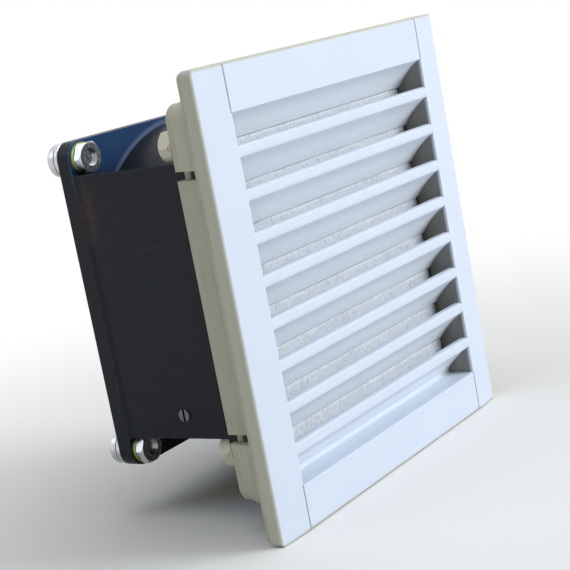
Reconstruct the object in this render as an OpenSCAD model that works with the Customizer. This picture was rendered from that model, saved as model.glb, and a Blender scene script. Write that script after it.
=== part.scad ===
// Filter fan for an equipment enclosure: louvred cover, filter mat, panel base and an 80 mm fan.
// X is to the right seen from the front, Y runs into the enclosure and Z is up.
// The origin is the centre of the panel cut-out, in the plane of the panel's outer face.

/* [Cover] */
// How far the cover reaches past the panel cut-out on each side
cover_overlap = 6.5; // [6:0.1:8]
// Depth of the cover's rim, front face to rear edge
cover_depth = 3.8; // [3.5:0.1:5]
// Wall of the cover's front plate and rim
cover_wall = 1.8; // [1.4:0.1:2.1]
// Radius of the cover's four corners seen from the front
cover_corner_r = 1.5; // [1:0.1:3]
// Radius on the front edges of the rim
edge_r = 1; // [0.5:0.1:1.4]
// How far the outer edge of each side rail lies behind its inner edge
rail_fall = 0.8; // [0.3:0.1:1.2]
// Wall of the collar round the louvred opening
collar_wall = 1.5; // [1.2:0.1:2]
// Width and depth of the seam lines across the top and bottom rails
seam = 0.4; // [0.2:0.1:0.7]
// Reach of the collar and louvres behind the cover's front face
louvre_reach = 7.6; // [7:0.1:8.5]

/* [Louvres] */
// Number of louvres
louvre_count = 8; // [6:1:9]
// Height of a louvre's front nose
nose_h = 2.5; // [1.8:0.1:3]
// Depth of a louvre's front nose
nose_d = 1.8; // [1.4:0.1:2.4]
// Thickness of a louvre's blade
louvre_t = 1.3; // [1:0.1:1.6]
// Radius of the curved underside of a blade
louvre_r = 23.4; // [21:0.2:30]
// Angle below the horizontal at which a blade leaves its nose
louvre_angle = 29; // [20:1:34]

/* [Base] */
// How far the square panel cut-out reaches past the fan on each side
cutout_margin = 6; // [5.8:0.1:7]
// Gap between the base's body and the cut-out on each side
cutout_gap = 0.5; // [0.3:0.1:0.8]
// Wall of the base's body
base_wall = 1.6; // [1.3:0.1:2]
// Corner radius of the base's body
base_corner_r = 4; // [3:0.2:5]
// Thickness of the visible lip between cover and panel
lip_t = 1; // [0.9:0.1:1.6]
// Height of the step that nests inside the cover
nest_h = 1.4; // [1:0.1:1.6]
// Depth of the base's body behind the panel's outer face
body_depth = 9.2; // [8.8:0.1:12]
// Thickness of the fan plate
plate_t = 2.4; // [2.2:0.1:3]
// Height of the fan seat above the rear edge of the body
seat_h = 0.8; // [0.5:0.1:1.2]
// Width of the ribs that back the filter mat
rib_w = 1.6; // [1.2:0.1:2.4]
// Distance of the ribs' rear edges behind the fan plate's front
rib_d = 2; // [1.5:0.1:2.4]
// Distance of the ribs' front edges behind the fan plate's front
rib_inset = 0.3; // [0.2:0.1:0.6]
// Number of ribs from the inner ring to the edge of the air opening
rib_count = 6; // [4:1:9]

/* [Latches] */
// Distance of the latch slots from the body's sides
slot_inset = 15.5; // [14:0.5:18]
// Width of a latch slot
slot_w = 2.1; // [1.6:0.1:2.6]
// Start of the slots behind the panel's outer face
slot_start = 2.7; // [2.4:0.1:3.2]
// Start of the latch's catch, the thickest panel it grips
panel_max_t = 2.2; // [1.8:0.1:2.4]
// Overhang of the catch beyond the base's body
catch_h = 1.4; // [1:0.1:1.8]
// Gap behind a latch, in which it bends inwards
latch_gap = 1.4; // [1.2:0.1:1.6]

/* [Gasket and filter] */
// Width of the foam gasket
gasket_w = 3; // [2:0.1:3.4]
// Thickness of the foam gasket
gasket_t = 1.7; // [1.4:0.1:2.4]
// Depth of the groove that holds the gasket
gasket_groove = 0.5; // [0.3:0.1:0.8]
// Gap round the filter mat
mat_gap = 0.3; // [0.3:0.05:0.4]

/* [Fan housing] */
// Width and height of the square fan
fan_w = 80; // [80:0.2:81]
// Depth of the fan
fan_depth = 38; // [38:0.5:44]
// Distance of the fan's mounting holes from its sides
hole_inset = 4.25; // [4.2:0.05:4.5]
// Diameter of the fan's mounting holes
hole_d = 4.5; // [4.3:0.1:4.7]
// Thickness of the two square flanges
flange_t = 3.8; // [3.4:0.1:4.4]
// Corner radius of the flanges
flange_corner_r = 4.2; // [3:0.1:4.4]
// Least wall between the round duct's bore and the fan's sides
duct_inset = 3; // [2.7:0.1:3.4]
// Wall of the round duct
duct_wall = 1.4; // [1.2:0.1:1.6]
// Width of the flared mouth of the duct
flare_w = 1.8; // [1:0.1:2]
// How far the flat side walls stop short of the flanges' corners
side_step = 6.5; // [6:0.1:8]
// Thickness of the flat side walls
side_t = 2.1; // [1.8:0.1:2.6]
// How far the side walls stand back from the flanges' sides
side_inset = 0.5; // [0.3:0.1:0.7]
// Radius of the spanner pockets cut into the side walls
pocket_r = 5.2; // [4.8:0.1:5.6]

/* [Motor support] */
// Diameter of the plate that carries the motor
carrier_d = 41; // [40:0.5:43]
// Thickness of the plate that carries the motor
carrier_t = 2; // [1.8:0.1:2.4]
// How far the carrier plate lies inside the fan's rear face
carrier_inset = 1.2; // [1:0.1:1.6]
// Number of struts
strut_count = 3; // [3:1:5]
// Width of a strut
strut_w = 4.6; // [4.2:0.1:5.2]
// How much thicker a strut is than the carrier plate
strut_rise = 0.4; // [0.2:0.1:0.6]

/* [Bearings and shaft] */
// Diameter of the shaft
shaft_d = 3; // [2.8:0.1:3.2]
// Running clearance of the shaft in its bearings, on the radius
shaft_clear = 0.03; // [0.02:0.01:0.06]
// Outer diameter of a bearing
bearing_d = 8; // [7.6:0.1:8.2]
// Width of a bearing
bearing_w = 4; // [3:0.1:4.2]
// Outer diameter of the bearing tube
tube_d = 10; // [9.8:0.1:10.6]
// Bore of the bearing tube between the bearings
tube_mid_d = 6.8; // [6:0.1:7]

/* [Motor] */
// Thickness of the stator's yoke round the bearing tube
yoke_t = 2.2; // [1.8:0.1:2.6]
// Radial length of a winding
coil_l = 3.4; // [3:0.1:3.6]
// Length of the stator's stack
stack_l = 13; // [11:0.5:14]
// Air gap between stator and rotor
air_gap = 0.4; // [0.3:0.05:0.6]
// Radial thickness of the rotor's ring
rotor_ring_t = 2.5; // [2:0.1:2.7]
// How much longer the rotor's ring is than the stator's stack
rotor_overhang = 1; // [0.6:0.1:1.6]
// Wall of the steel rotor cup
cup_wall = 0.8; // [0.6:0.1:1]
// Width of a stator tooth
tooth_w = 5; // [4.4:0.1:5.4]
// Thickness of the pole shoes
shoe_t = 2.1; // [1.8:0.1:2.4]
// Thickness of the coil formers
former_t = 0.6; // [0.4:0.1:0.8]
// Thickness of the winding on each side of a former
winding_t = 2.1; // [1.6:0.1:2.2]

/* [Impeller] */
// Number of impeller blades
fan_blades = 5; // [5:1:7]
// Gap between the blade tips and the duct
tip_gap = 0.8; // [0.6:0.1:1.2]
// Wall of the impeller's hub
hub_wall = 1.6; // [1.2:0.1:2]
// Distance of the hub's front from the fan's front face
hub_inset = 2.6; // [2:0.1:3.4]
// Thickness of an impeller blade, measured round the axis
fan_blade_t = 2.4; // [2:0.1:2.8]
// Turn of an impeller blade from its front to its rear edge
fan_blade_twist = 42; // [34:1:48]

/* [Fixings] */
// Thread diameter of the fixings
thread_d = 4; // [3.8:0.1:4]
// Width across the flats of a nut
nut_af = 7; // [6.8:0.1:7.2]
// Height of the nuts that hold the fan
nut_h = 3.2; // [2.6:0.1:3.4]
// Height of the thin nuts that hold the guard
thin_nut_h = 2.2; // [2:0.1:2.4]
// Thickness of the washers
washer_t = 0.9; // [0.7:0.1:1.1]
// Diameter of the washers
washer_d = 7.6; // [7.2:0.1:8]
// Diameter of a countersunk screw head
csk_head_d = 7.6; // [7.2:0.1:7.8]
// Diameter of a pan screw head
pan_head_d = 8; // [7.6:0.1:8]
// Height of a pan screw head
pan_head_h = 2.6; // [2.4:0.1:3]
// How far a screw's end lies inside its nut
screw_end_inset = 0.8; // [0.5:0.1:1.2]

/* [Finger guard] */
// Diameter of the guard's wire
wire_d = 1.6; // [1.4:0.1:1.8]
// Number of rings
ring_count = 4; // [3:1:4]
// Radius of the innermost ring
ring_first_r = 8; // [7:0.2:9]
// Distance of the outermost ring from the edge of the duct's bore
ring_inset = 2; // [1.6:0.1:3]
// Overlap of welded wires
weld = 0.1; // [0.05:0.05:0.2]

/* [Connections] */
// Width of a terminal tab
tab_w = 2.8; // [2.4:0.1:3]
// Thickness of a terminal tab
tab_t = 0.5; // [0.4:0.1:0.8]
// Length of a terminal tab outside its block
tab_l = 6.3; // [5:0.1:7]
// Length of the terminal block along the fan's side
block_l = 16; // [15:0.5:18]
// Height of the terminal block over the fan's side
block_h = 4.8; // [4.4:0.1:5.2]
// Depth of the terminal block in front of its barrier
block_d = 6.4; // [6:0.1:7]
// Diameter of an insulated lead
lead_d = 1.2; // [1:0.1:1.3]
// Diameter of the earth screw
earth_d = 3; // [2.5:0.1:3.2]
// Distance of the earth screw from the lower end of its side wall
earth_inset = 7.1; // [5:0.1:10]
// Distance of the earth screw behind the fan's front face
earth_back = 15.7; // [14:0.2:18]

/* [Hidden] */
$fn = 64;

frame_black = [0.16, 0.17, 0.18];
blade_black = [0.13, 0.13, 0.14];

// Overrun of every cut past the face it opens
cut = 0.2;
// Embedding of a piece in the piece of the same solid that carries it
sink = 0.3;
// Play between the cover and the base
cover_play = 0.3;
// Play of the collar in the base's mouth
collar_play = 0.6;
// Play of the terminal block's spigot in its slot
spigot_play = 0.1;
// Axial play beside the bearings
end_play = 0.05;

// Small sizes of the pieces
nose_r = 0.6;
bearing_set_back = 1.8;
race_t = 0.6;
race_dish = 0.25;
cup_plate_t = 1.2;
boss_l = 4.8;
boss_play = 0.8;
preload_t = 0.27;
tube_inset = 0.2;
tube_foot_w = 2.5;
tube_foot_t = 1.2;
winding_clear = 3.2;
winding_play = 0.1;
groove_depth = 0.36;
shaft_chamfer = 0.3;
hub_dish = 0.4;
flare_l = 2.9;
hub_dish_share = 0.8;
thrust_d = 6.4;
thrust_t = 0.4;
clip_d = 5.7;
clip_t = 0.5;
clip_mouth = 1.8;
rating_t = 0.4;
tab_root = 1.6;
tab_hole_d = 1.1;
tab_hole_inset = 1.9;
thread_play = 0.2;
nut_chamfer = 0.45;
recess_l = 4.4;
recess_w = 0.9;
recess_depth_share = 0.5;
earth_stand = 0.4;
earth_slot_w = 0.6;
earth_slot_depth = 0.8;
eye_play = 0.6;
leg_bend_gap = 2.5;

// Places along Y from the front to the rear
lip_rear = gasket_groove - gasket_t;
lip_front = lip_rear - lip_t;
cover_rear = lip_front;
cover_front = cover_rear - cover_depth;
collar_rear = cover_front + louvre_reach;
nest_front = lip_front - nest_h;
plate_front = body_depth + seat_h - plate_t;
mat_front = collar_rear + mat_gap;
mat_rear = plate_front - mat_gap;
fan_front = body_depth + seat_h;
fan_rear = fan_front + fan_depth;
front_flange_rear = fan_front + flange_t;
rear_flange_front = fan_rear - flange_t;
carrier_rear = fan_rear - carrier_inset;
carrier_front = carrier_rear - carrier_t;

// Widths seen from the front
cutout_w = fan_w + 2 * cutout_margin;
cover_w = cutout_w + 2 * cover_overlap;
body_w = cutout_w - 2 * cutout_gap;
mouth_w = body_w - 2 * base_wall;
collar_w = mouth_w - 2 * collar_play;
opening_w = collar_w - 2 * collar_wall;
seam_x = opening_w / 2 + seam / 2;
mouth_corner_r = base_corner_r - base_wall;
rim_inner_w = cover_w - 2 * cover_wall;
nest_w = rim_inner_w - 2 * cover_play;
gasket_outer_w = nest_w - 2 * cover_play;
mat_w = mouth_w - 2 * mat_gap;
seat_w = fan_w + 2 * side_inset;
hole_at = fan_w / 2 - hole_inset;
duct_r = fan_w / 2 - duct_inset;
side_h = fan_w - 2 * side_step;
duct_outer_r = duct_r + duct_wall;
rib_ring_shares = [0.28, 0.62];
side_x = fan_w / 2 - side_inset;

// Latches: the catch rises steeply behind the panel and falls gently to the rear
slot_place = body_w / 2 - slot_inset;
slot_in = slot_place - slot_w / 2;
slot_out = slot_place + slot_w / 2;
latch_corner = body_w / 2 - base_corner_r;
catch_l = body_depth - panel_max_t;
catch_shares = [[0, 0], [1, 0.1], [0.86, 0.29], [0.43, 0.57], [0, 0.8]];
catch_face = [for (c = catch_shares) [catch_h * c[0], panel_max_t + catch_l * c[1]]];
catch_profile = concat([catch_face[0] - [sink, 0]], catch_face, [catch_face[len(catch_face) - 1] - [sink, 0]]);

// Louvres: the underside is an arc about louvre_centre, measured from the nose's lower front edge
louvre_gap = (opening_w - louvre_count * nose_h) / (louvre_count + 1);
louvre_pitch = louvre_gap + nose_h;
louvre_steps = 10;
louvre_centre = [-louvre_r * sin(louvre_angle), -louvre_r * cos(louvre_angle)];
louvre_end_angle = asin((louvre_reach - louvre_centre[0]) / louvre_r);

// Stator and windings
yoke_r = tube_d / 2 + yoke_t;
coil_half_w = tooth_w / 2 + former_t + winding_t;
coil_inner_x = yoke_r + winding_play;
coil_outer_x = coil_inner_x + coil_l;
shoe_r = norm([coil_outer_x + winding_play, coil_half_w]);
stator_d = 2 * (shoe_r + shoe_t);
shoe_gap = tooth_w / 2;

// Motor, from the carrier plate forwards
tube_rear = carrier_rear - tube_inset;
rear_bearing_rear = carrier_rear - bearing_set_back;
rear_bearing_front = rear_bearing_rear - bearing_w;
hub_front = fan_front + hub_inset;
hub_plate_t = hub_wall;
cup_front = hub_front + hub_plate_t;
boss_rear = cup_front + cup_plate_t + boss_l;
boss_d = bearing_d;
front_bearing_front = boss_rear + boss_play;
front_bearing_rear = front_bearing_front + bearing_w;
tube_front = front_bearing_front;
tube_foot_d = tube_d + 2 * tube_foot_w;
stack_rear = carrier_front - tube_foot_t - former_t - winding_t - winding_clear;
stack_front = stack_rear - stack_l;
rotor_bore_r = stator_d / 2 + air_gap;
ring_outer_r = rotor_bore_r + rotor_ring_t;
cup_r = ring_outer_r + cup_wall;
hub_r = cup_r + hub_wall;
rotor_ring_front = stack_front - rotor_overhang / 2;
rotor_ring_rear = stack_rear + rotor_overhang / 2;
cup_rear = rotor_ring_rear + winding_t + former_t;
hub_rear = cup_rear + hub_wall / 2;
tip_r = duct_r - tip_gap;
blade_front = hub_front + hub_wall / 2;
blade_rear = hub_rear - hub_wall / 2;
thrust_front = rear_bearing_rear + end_play;
clip_front = thrust_front + thrust_t;
shaft_rear = clip_front + clip_t * 2;
groove_d = shaft_d - 2 * groove_depth;

coil_rear = stack_rear + former_t + winding_t;

// Leads and terminals
lead_gap = 0.3;
lead_z = lead_d / 2 + lead_gap / 2;
lead_y = carrier_rear - winding_play - lead_d / 2;
lead_x = (coil_inner_x + coil_outer_x) / 2;
channel_w = 2 * lead_d + 2 * lead_gap;
channel_floor = lead_y - lead_d / 2;
strut_rear = carrier_rear + strut_rise;
spigot_w = 2 * lead_d + 4 * former_t + lead_gap;
spigot_t = lead_d + former_t + spigot_play * 2;
block_rear = lead_y - lead_d / 2 - spigot_play;
block_front = block_rear - block_d;
barrier_rear = strut_rear + strut_rise;
block_x = fan_w / 2;
tab_x = block_x + block_h / 2;
tab_z = (block_l / 2 + spigot_w / 2) / 2;
tab_front = block_front + tab_root;

// Fixings
thread_r = thread_d / 2;
front_washer_rear = front_flange_rear + washer_t;
front_nut_rear = front_washer_rear + nut_h;
rear_washer_front = rear_flange_front - washer_t;
rear_nut_front = rear_washer_front - thin_nut_h;
csk_depth = (csk_head_d - thread_d) / 2;
plate_hole_d = thread_d + 2 * thread_play;

// Finger guard: the rings lie inside, the legs cross them outside
guard_plane = fan_rear + wire_d / 2;
ring_plane = guard_plane + wire_d - 2 * weld;
leg_plane = ring_plane + wire_d - weld;
eye_r = thread_r + eye_play + wire_d / 2;
ring_last_r = duct_r - ring_inset;
ring_step = (ring_last_r - ring_first_r) / (ring_count - 1);
eye_at = hole_at * sqrt(2);
leg_bend_r = ring_last_r + leg_bend_gap;
leg_foot_r = leg_bend_r + wire_d * 2;
head_front = fan_rear + wire_d;

// Rounded square seen from the front
module rounded_square(w, r) {
    square([w - 2 * r, w], center = true);
    square([w, w - 2 * r], center = true);
    for (sx = [-1, 1])
        for (sz = [-1, 1])
            translate([sx * (w / 2 - r), sz * (w / 2 - r)])
                circle(r);
}

// An outline in X and Z, run from y0 to y1
module along_y(y0, y1) {
    translate([0, y0, 0])
        rotate([-90, 0, 0])
            linear_extrude(height = y1 - y0)
                mirror([0, 1])
                    children();
}

// An outline in Y and Z, run from x0 to x1
module along_x(x0, x1) {
    translate([x0, 0, 0])
        rotate([90, 0, 90])
            linear_extrude(height = x1 - x0)
                children();
}

// An outline in X and Y, run from z0 to z1
module along_z(z0, z1) {
    translate([0, 0, z0])
        linear_extrude(height = z1 - z0)
            children();
}

// A round rod from y0 to y1
module rod_y(d, y0, y1) {
    translate([0, y0, 0])
        rotate([-90, 0, 0])
            cylinder(d = d, h = y1 - y0);
}

// An outline in radius and Y, turned about the Y axis
module turned(angle = 360) {
    rotate([-90, 0, 0])
        rotate_extrude(angle = angle)
            children();
}

// A box from one corner to the other
module box(low, high) {
    translate(low)
        cube(high - low);
}

// A copy at each of the four mounting holes
module at_holes() {
    for (sx = [-1, 1])
        for (sz = [-1, 1])
            translate([sx * hole_at, 0, sz * hole_at])
                children();
}

// Points of an arc about a centre
function arc(centre, r, a0, a1, steps) = [
    for (i = [0:steps])
        let (a = a0 + (a1 - a0) * i / steps)
            [centre[0] + r * cos(a), centre[1] + r * sin(a)]
];

// The cover's rim seen from above: side rails that fall away outwards, with rounded edges
module cover_plan() {
    x = cover_w / 2;
    y = cover_front + rail_fall + edge_r;
    polygon(concat(
        [[-x, cover_rear]],
        arc([-x + edge_r, y], edge_r, 180, 270, 6),
        [[-seam_x, cover_front], [seam_x, cover_front]],
        arc([x - edge_r, y], edge_r, 270, 360, 6),
        [[x, cover_rear]]
    ));
}

// The cover's rim seen from the side
module cover_section() {
    z = cover_w / 2;
    y = cover_front + edge_r;
    polygon(concat(
        [[cover_rear, -z], [cover_rear, z]],
        arc([y, z - edge_r], edge_r, 90, 180, 6),
        arc([y, -z + edge_r], edge_r, 180, 270, 6)
    ));
}

module cover_shell() {
    intersection() {
        along_y(cover_front, cover_rear)
            rounded_square(cover_w, cover_corner_r);
        along_z(-cover_w / 2, cover_w / 2)
            cover_plan();
        along_x(-cover_w / 2, cover_w / 2)
            cover_section();
    }
}

// A louvre's blade in Y and Z, which curves back and down
module louvre_blade() {
    under = [for (i = [0:louvre_steps])
        let (a = louvre_angle + (louvre_end_angle - louvre_angle) * i / louvre_steps)
            louvre_centre + louvre_r * [sin(a), cos(a)]];
    over = [for (i = [louvre_steps:-1:0])
        let (a = louvre_angle + (louvre_end_angle - louvre_angle) * i / louvre_steps)
            louvre_centre + (louvre_r + louvre_t) * [sin(a), cos(a)]];
    intersection() {
        polygon(concat(under, over));
        translate([0, -louvre_r])
            square([louvre_reach, louvre_r * 2]);
    }
}

// One louvre in Y and Z: a rounded nose and the blade
module louvre_outline() {
    louvre_blade();
    translate([nose_r, nose_r])
        circle(nose_r);
    translate([nose_r, nose_h - nose_r])
        circle(nose_r);
    translate([0, nose_r])
        square([nose_d, nose_h - 2 * nose_r]);
    translate([nose_r, 0])
        square([nose_d - nose_r, nose_h]);
}

module grille_cover() {
    color("whitesmoke") {
        difference() {
            union() {
                difference() {
                    cover_shell();
                    along_y(cover_front + cover_wall, cover_rear + cut)
                        rounded_square(rim_inner_w, cover_corner_r / 2);
                }
                along_y(cover_front + cover_wall - sink, collar_rear)
                    rounded_square(collar_w, mouth_corner_r);
            }
            along_y(cover_front - cut, collar_rear + cut)
                square(opening_w, center = true);
            for (sx = [-1, 1])
                for (sz = [-1, 1])
                    translate([sx * seam_x, cover_front, sz * (opening_w + cover_w) / 4])
                        cube([seam, 2 * seam, (cover_w - opening_w) / 2 + cut], center = true);
        }
        for (i = [0:louvre_count - 1])
            translate([0, cover_front, opening_w / 2 - (i + 1) * louvre_pitch])
                along_x(-opening_w / 2 - sink, opening_w / 2 + sink)
                    louvre_outline();
        // The top rail carries a blade as well
        translate([0, cover_front, opening_w / 2 + sink])
            along_x(-opening_w / 2 - sink, opening_w / 2 + sink)
                louvre_blade();
    }
}

module filter_mat() {
    color("white")
        along_y(mat_front, mat_rear)
            rounded_square(mat_w, mouth_corner_r);
}

// The catch of one corner latch, at the corner towards +X and -Z
module latch_catch() {
    translate([latch_corner, 0, -latch_corner])
        turned(90)
            polygon([for (p = catch_profile) [base_corner_r + p[0], p[1]]]);
    along_z(-latch_corner, -slot_out)
        polygon([for (p = catch_profile) [body_w / 2 + p[0], p[1]]]);
    along_x(slot_out, latch_corner)
        polygon([for (p = catch_profile) [p[1], -body_w / 2 - p[0]]]);
}

// Slots beside the latches and the gap behind them
module latch_cuts() {
    for (a = [0:90:270])
        rotate([0, a, 0])
            for (s = [-1, 1])
                translate([s * slot_place, slot_start, mouth_w / 2 - latch_gap])
                    translate([-slot_w / 2, 0, 0])
                        cube([slot_w, body_depth + cut - slot_start, latch_gap + base_wall + catch_h + cut]);
    along_y(plate_front - cut, body_depth + cut)
        difference() {
            rounded_square(mouth_w, mouth_corner_r);
            rounded_square(mouth_w - 2 * latch_gap, flange_corner_r);
            square([2 * slot_in, mouth_w + cut], center = true);
            square([mouth_w + cut, 2 * slot_in], center = true);
        }
}

// Ribs and rings across the air opening that back the filter mat, a little behind the plate's front
module mat_ribs() {
    end_r = duct_r + flare_w + sink;
    along_y(plate_front + rib_inset, plate_front + rib_d) {
        for (r = rib_ring_shares * duct_r)
            difference() {
                circle(r + rib_w / 2);
                circle(r - rib_w / 2);
            }
        for (i = [0:rib_count - 1])
            rotate(i * 360 / rib_count)
                translate([rib_ring_shares[0] * duct_r, -rib_w / 2])
                    square([end_r - rib_ring_shares[0] * duct_r, rib_w]);
    }
}

module base_frame() {
    color("gainsboro") {
        difference() {
            union() {
                along_y(lip_front, lip_rear)
                    rounded_square(cover_w - 2 * seam, cover_corner_r);
                along_y(nest_front, lip_front + sink)
                    rounded_square(nest_w, cover_corner_r);
                along_y(lip_rear - sink, body_depth)
                    rounded_square(body_w, base_corner_r);
                along_y(body_depth - sink, fan_front)
                    rounded_square(seat_w, flange_corner_r + side_inset);
                for (a = [0:90:270])
                    rotate([0, a, 0])
                        latch_catch();
            }
            along_y(nest_front - cut, plate_front)
                rounded_square(mouth_w, mouth_corner_r);
            along_y(lip_rear - gasket_groove, lip_rear + cut)
                difference() {
                    rounded_square(gasket_outer_w, cover_corner_r);
                    square(gasket_outer_w - 2 * gasket_w, center = true);
                }
            rod_y(2 * (duct_r + flare_w), plate_front - cut, fan_front + cut);
            at_holes() {
                rod_y(plate_hole_d, plate_front - cut, fan_front + cut);
                countersink();
            }
            latch_cuts();
        }
        mat_ribs();
    }
}

// The conical seat of a countersunk head
module countersink() {
    turned()
        polygon([[0, plate_front], [csk_head_d / 2, plate_front], [thread_r, plate_front + csk_depth],
            [0, plate_front + csk_depth]]);
}

module panel_gasket() {
    color("dimgray")
        along_y(lip_rear - gasket_groove, 0)
            difference() {
                rounded_square(gasket_outer_w, cover_corner_r);
                square(gasket_outer_w - 2 * gasket_w, center = true);
            }
}

// A square flange of the fan frame with its mounting holes and the duct's bore
module flange(y0, y1) {
    difference() {
        along_y(y0, y1)
            rounded_square(fan_w, flange_corner_r);
        rod_y(2 * duct_r, y0 - cut, y1 + cut);
        at_holes()
            rod_y(hole_d, y0 - cut, y1 + cut);
    }
}

module front_flange() {
    color(frame_black)
        difference() {
            flange(fan_front, front_flange_rear);
            turned()
                polygon([[0, fan_front - cut], [duct_r + flare_w, fan_front - cut],
                    [duct_r + flare_w, fan_front], [duct_r, fan_front + flare_l], [0, fan_front + flare_l]]);
        }
}

// A flat side wall between the flanges, at the side towards +X, with a slope up to the rear flange
module side_wall() {
    slope = 3 * side_inset;
    box([side_x - side_t, front_flange_rear, -side_h / 2], [side_x, rear_flange_front, side_h / 2]);
    along_z(-side_h / 2, side_h / 2)
        polygon([[side_x - side_t, rear_flange_front - slope], [side_x, rear_flange_front - slope],
            [fan_w / 2, rear_flange_front], [side_x - side_t, rear_flange_front]]);
}

module side_walls() {
    color(frame_black)
        difference() {
            union() {
                side_wall();
                mirror([1, 0, 0])
                    side_wall();
            }
            rod_y(2 * duct_outer_r, front_flange_rear - cut, rear_flange_front + cut);
            at_holes()
                rod_y(2 * pocket_r, front_flange_rear - cut, rear_flange_front + cut);
            translate([-side_x, fan_front + earth_back, earth_inset - side_h / 2])
                rotate([0, 90, 0])
                    cylinder(d = earth_d, h = 4 * side_t, center = true);
        }
}

module fan_duct() {
    color(frame_black)
        difference() {
            rod_y(2 * duct_outer_r, front_flange_rear, rear_flange_front);
            rod_y(2 * duct_r, front_flange_rear - cut, rear_flange_front + cut);
        }
}

module rear_flange() {
    color(frame_black)
        difference() {
            flange(rear_flange_front, fan_rear);
            box([duct_r - duct_wall, channel_floor, -channel_w / 2],
                [duct_outer_r + sink, fan_rear + cut, channel_w / 2]);
            box([duct_outer_r, lead_y - spigot_t / 2 - spigot_play, -spigot_w / 2 - spigot_play],
                [fan_w / 2 + cut, lead_y + spigot_t / 2 + spigot_play, spigot_w / 2 + spigot_play]);
        }
}

// The round plate that carries the motor, and the struts that hold it in the duct
module motor_carrier() {
    color(frame_black)
        difference() {
            union() {
                rod_y(carrier_d, carrier_front, carrier_rear);
                intersection() {
                    for (i = [0:strut_count - 1])
                        rotate([0, i * 360 / strut_count, 0])
                            box([carrier_d / 2 - 2 * sink, carrier_front, -strut_w / 2],
                                [duct_r + strut_w, strut_rear, strut_w / 2]);
                    rod_y(2 * duct_r, carrier_front - cut, strut_rear + cut);
                }
            }
            rod_y(tube_d, carrier_front - cut, strut_rear + cut);
            box([lead_x - lead_d / 2, channel_floor, -channel_w / 2],
                [duct_r + cut, strut_rear + cut, channel_w / 2]);
            box([lead_x - lead_d / 2, carrier_front - cut, -channel_w / 2],
                [lead_x + lead_d / 2, channel_floor + cut, channel_w / 2]);
        }
}

module side_terminal_block() {
    color("darkslategray")
        difference() {
            union() {
                box([block_x, block_front, -block_l / 2], [block_x + block_h, block_rear, block_l / 2]);
                box([block_x, block_rear - sink, -spigot_w / 2],
                    [block_x + block_h, barrier_rear, spigot_w / 2]);
                box([duct_outer_r + spigot_play, lead_y - spigot_t / 2, -spigot_w / 2],
                    [block_x + sink, lead_y + spigot_t / 2, spigot_w / 2]);
            }
            for (s = [-1, 1]) {
                translate([0, lead_y, s * lead_z])
                    rotate([0, 90, 0])
                        cylinder(d = lead_d, h = block_x + lead_d);
                translate([tab_x, 0, s * tab_z])
                    box([-tab_t / 2, tab_front, -tab_w / 2], [tab_t / 2, block_rear + cut, tab_w / 2]);
            }
        }
}

module terminal_tabs() {
    color("silver")
        for (s = [-1, 1])
            translate([tab_x, 0, s * tab_z])
                difference() {
                    box([-tab_t / 2, tab_front, -tab_w / 2], [tab_t / 2, block_rear + tab_l, tab_w / 2]);
                    translate([0, block_rear + tab_l - tab_hole_inset, 0])
                        rotate([0, 90, 0])
                            cylinder(d = tab_hole_d, h = 2 * tab_t, center = true);
                }
}

module lead_wires() {
    color("saddlebrown")
        for (s = [-1, 1])
            translate([0, 0, s * lead_z]) {
                translate([lead_x, 0, 0])
                    rod_y(lead_d, coil_rear, lead_y);
                translate([lead_x, lead_y, 0]) {
                    sphere(d = lead_d);
                    rotate([0, 90, 0])
                        cylinder(d = lead_d, h = block_x + lead_d - lead_x);
                }
            }
}

module earth_screw() {
    color("silver")
        translate([-side_x, fan_front + earth_back, earth_inset - side_h / 2])
            difference() {
                rotate([0, 90, 0])
                    translate([0, 0, -earth_stand])
                        cylinder(d = earth_d, h = side_t + earth_stand);
                cube([2 * earth_slot_depth, earth_slot_w, earth_d + cut], center = true);
            }
}

module bearing_tube() {
    color("goldenrod")
        difference() {
            union() {
                rod_y(tube_d, tube_front, tube_rear);
                rod_y(tube_foot_d, carrier_front - tube_foot_t, carrier_front);
            }
            rod_y(tube_mid_d, tube_front - cut, tube_rear + cut);
            rod_y(bearing_d, tube_front - cut, front_bearing_rear);
            rod_y(bearing_d, rear_bearing_front, tube_rear + cut);
        }
}

// A shielded ball bearing from y0 to its rear face
module bearing(y0) {
    y1 = y0 + bearing_w;
    bore_r = shaft_d / 2 + shaft_clear;
    color("silver")
        difference() {
            rod_y(bearing_d, y0, y1);
            rod_y(2 * bore_r, y0 - cut, y1 + cut);
            for (y = [y0, y1])
                difference() {
                    rod_y(bearing_d - 2 * race_t, y - race_dish, y + race_dish);
                    rod_y(2 * bore_r + 2 * race_t, y - race_dish - cut, y + race_dish + cut);
                }
        }
}

module front_bearing() {
    bearing(front_bearing_front);
}

module rear_bearing() {
    bearing(rear_bearing_front);
}

// Laminated four-pole stator
module stator_core() {
    color("slategray")
        along_y(stack_front, stack_rear)
            difference() {
                union() {
                    circle(yoke_r);
                    square([2 * shoe_r + shoe_t, tooth_w], center = true);
                    square([tooth_w, 2 * shoe_r + shoe_t], center = true);
                    difference() {
                        circle(d = stator_d);
                        circle(shoe_r);
                        for (a = [45, 135])
                            rotate(a)
                                square([stator_d + cut, shoe_gap], center = true);
                    }
                }
                circle(d = tube_d);
            }
}

// A frame round one stator tooth, towards +X, between two thicknesses
module tooth_frame(inner, outer) {
    z0 = tooth_w / 2 + inner;
    z1 = tooth_w / 2 + outer;
    difference() {
        box([coil_inner_x, stack_front - outer, -z1], [coil_outer_x, stack_rear + outer, z1]);
        box([coil_inner_x - cut, stack_front - inner, -z0], [coil_outer_x + cut, stack_rear + inner, z0]);
    }
}

module coil_formers() {
    color("ivory")
        for (a = [0:90:270])
            rotate([0, a, 0])
                tooth_frame(0, former_t);
}

module stator_coils() {
    color("peru")
        for (a = [0:90:270])
            rotate([0, a, 0])
                tooth_frame(former_t, former_t + winding_t);
}

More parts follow.
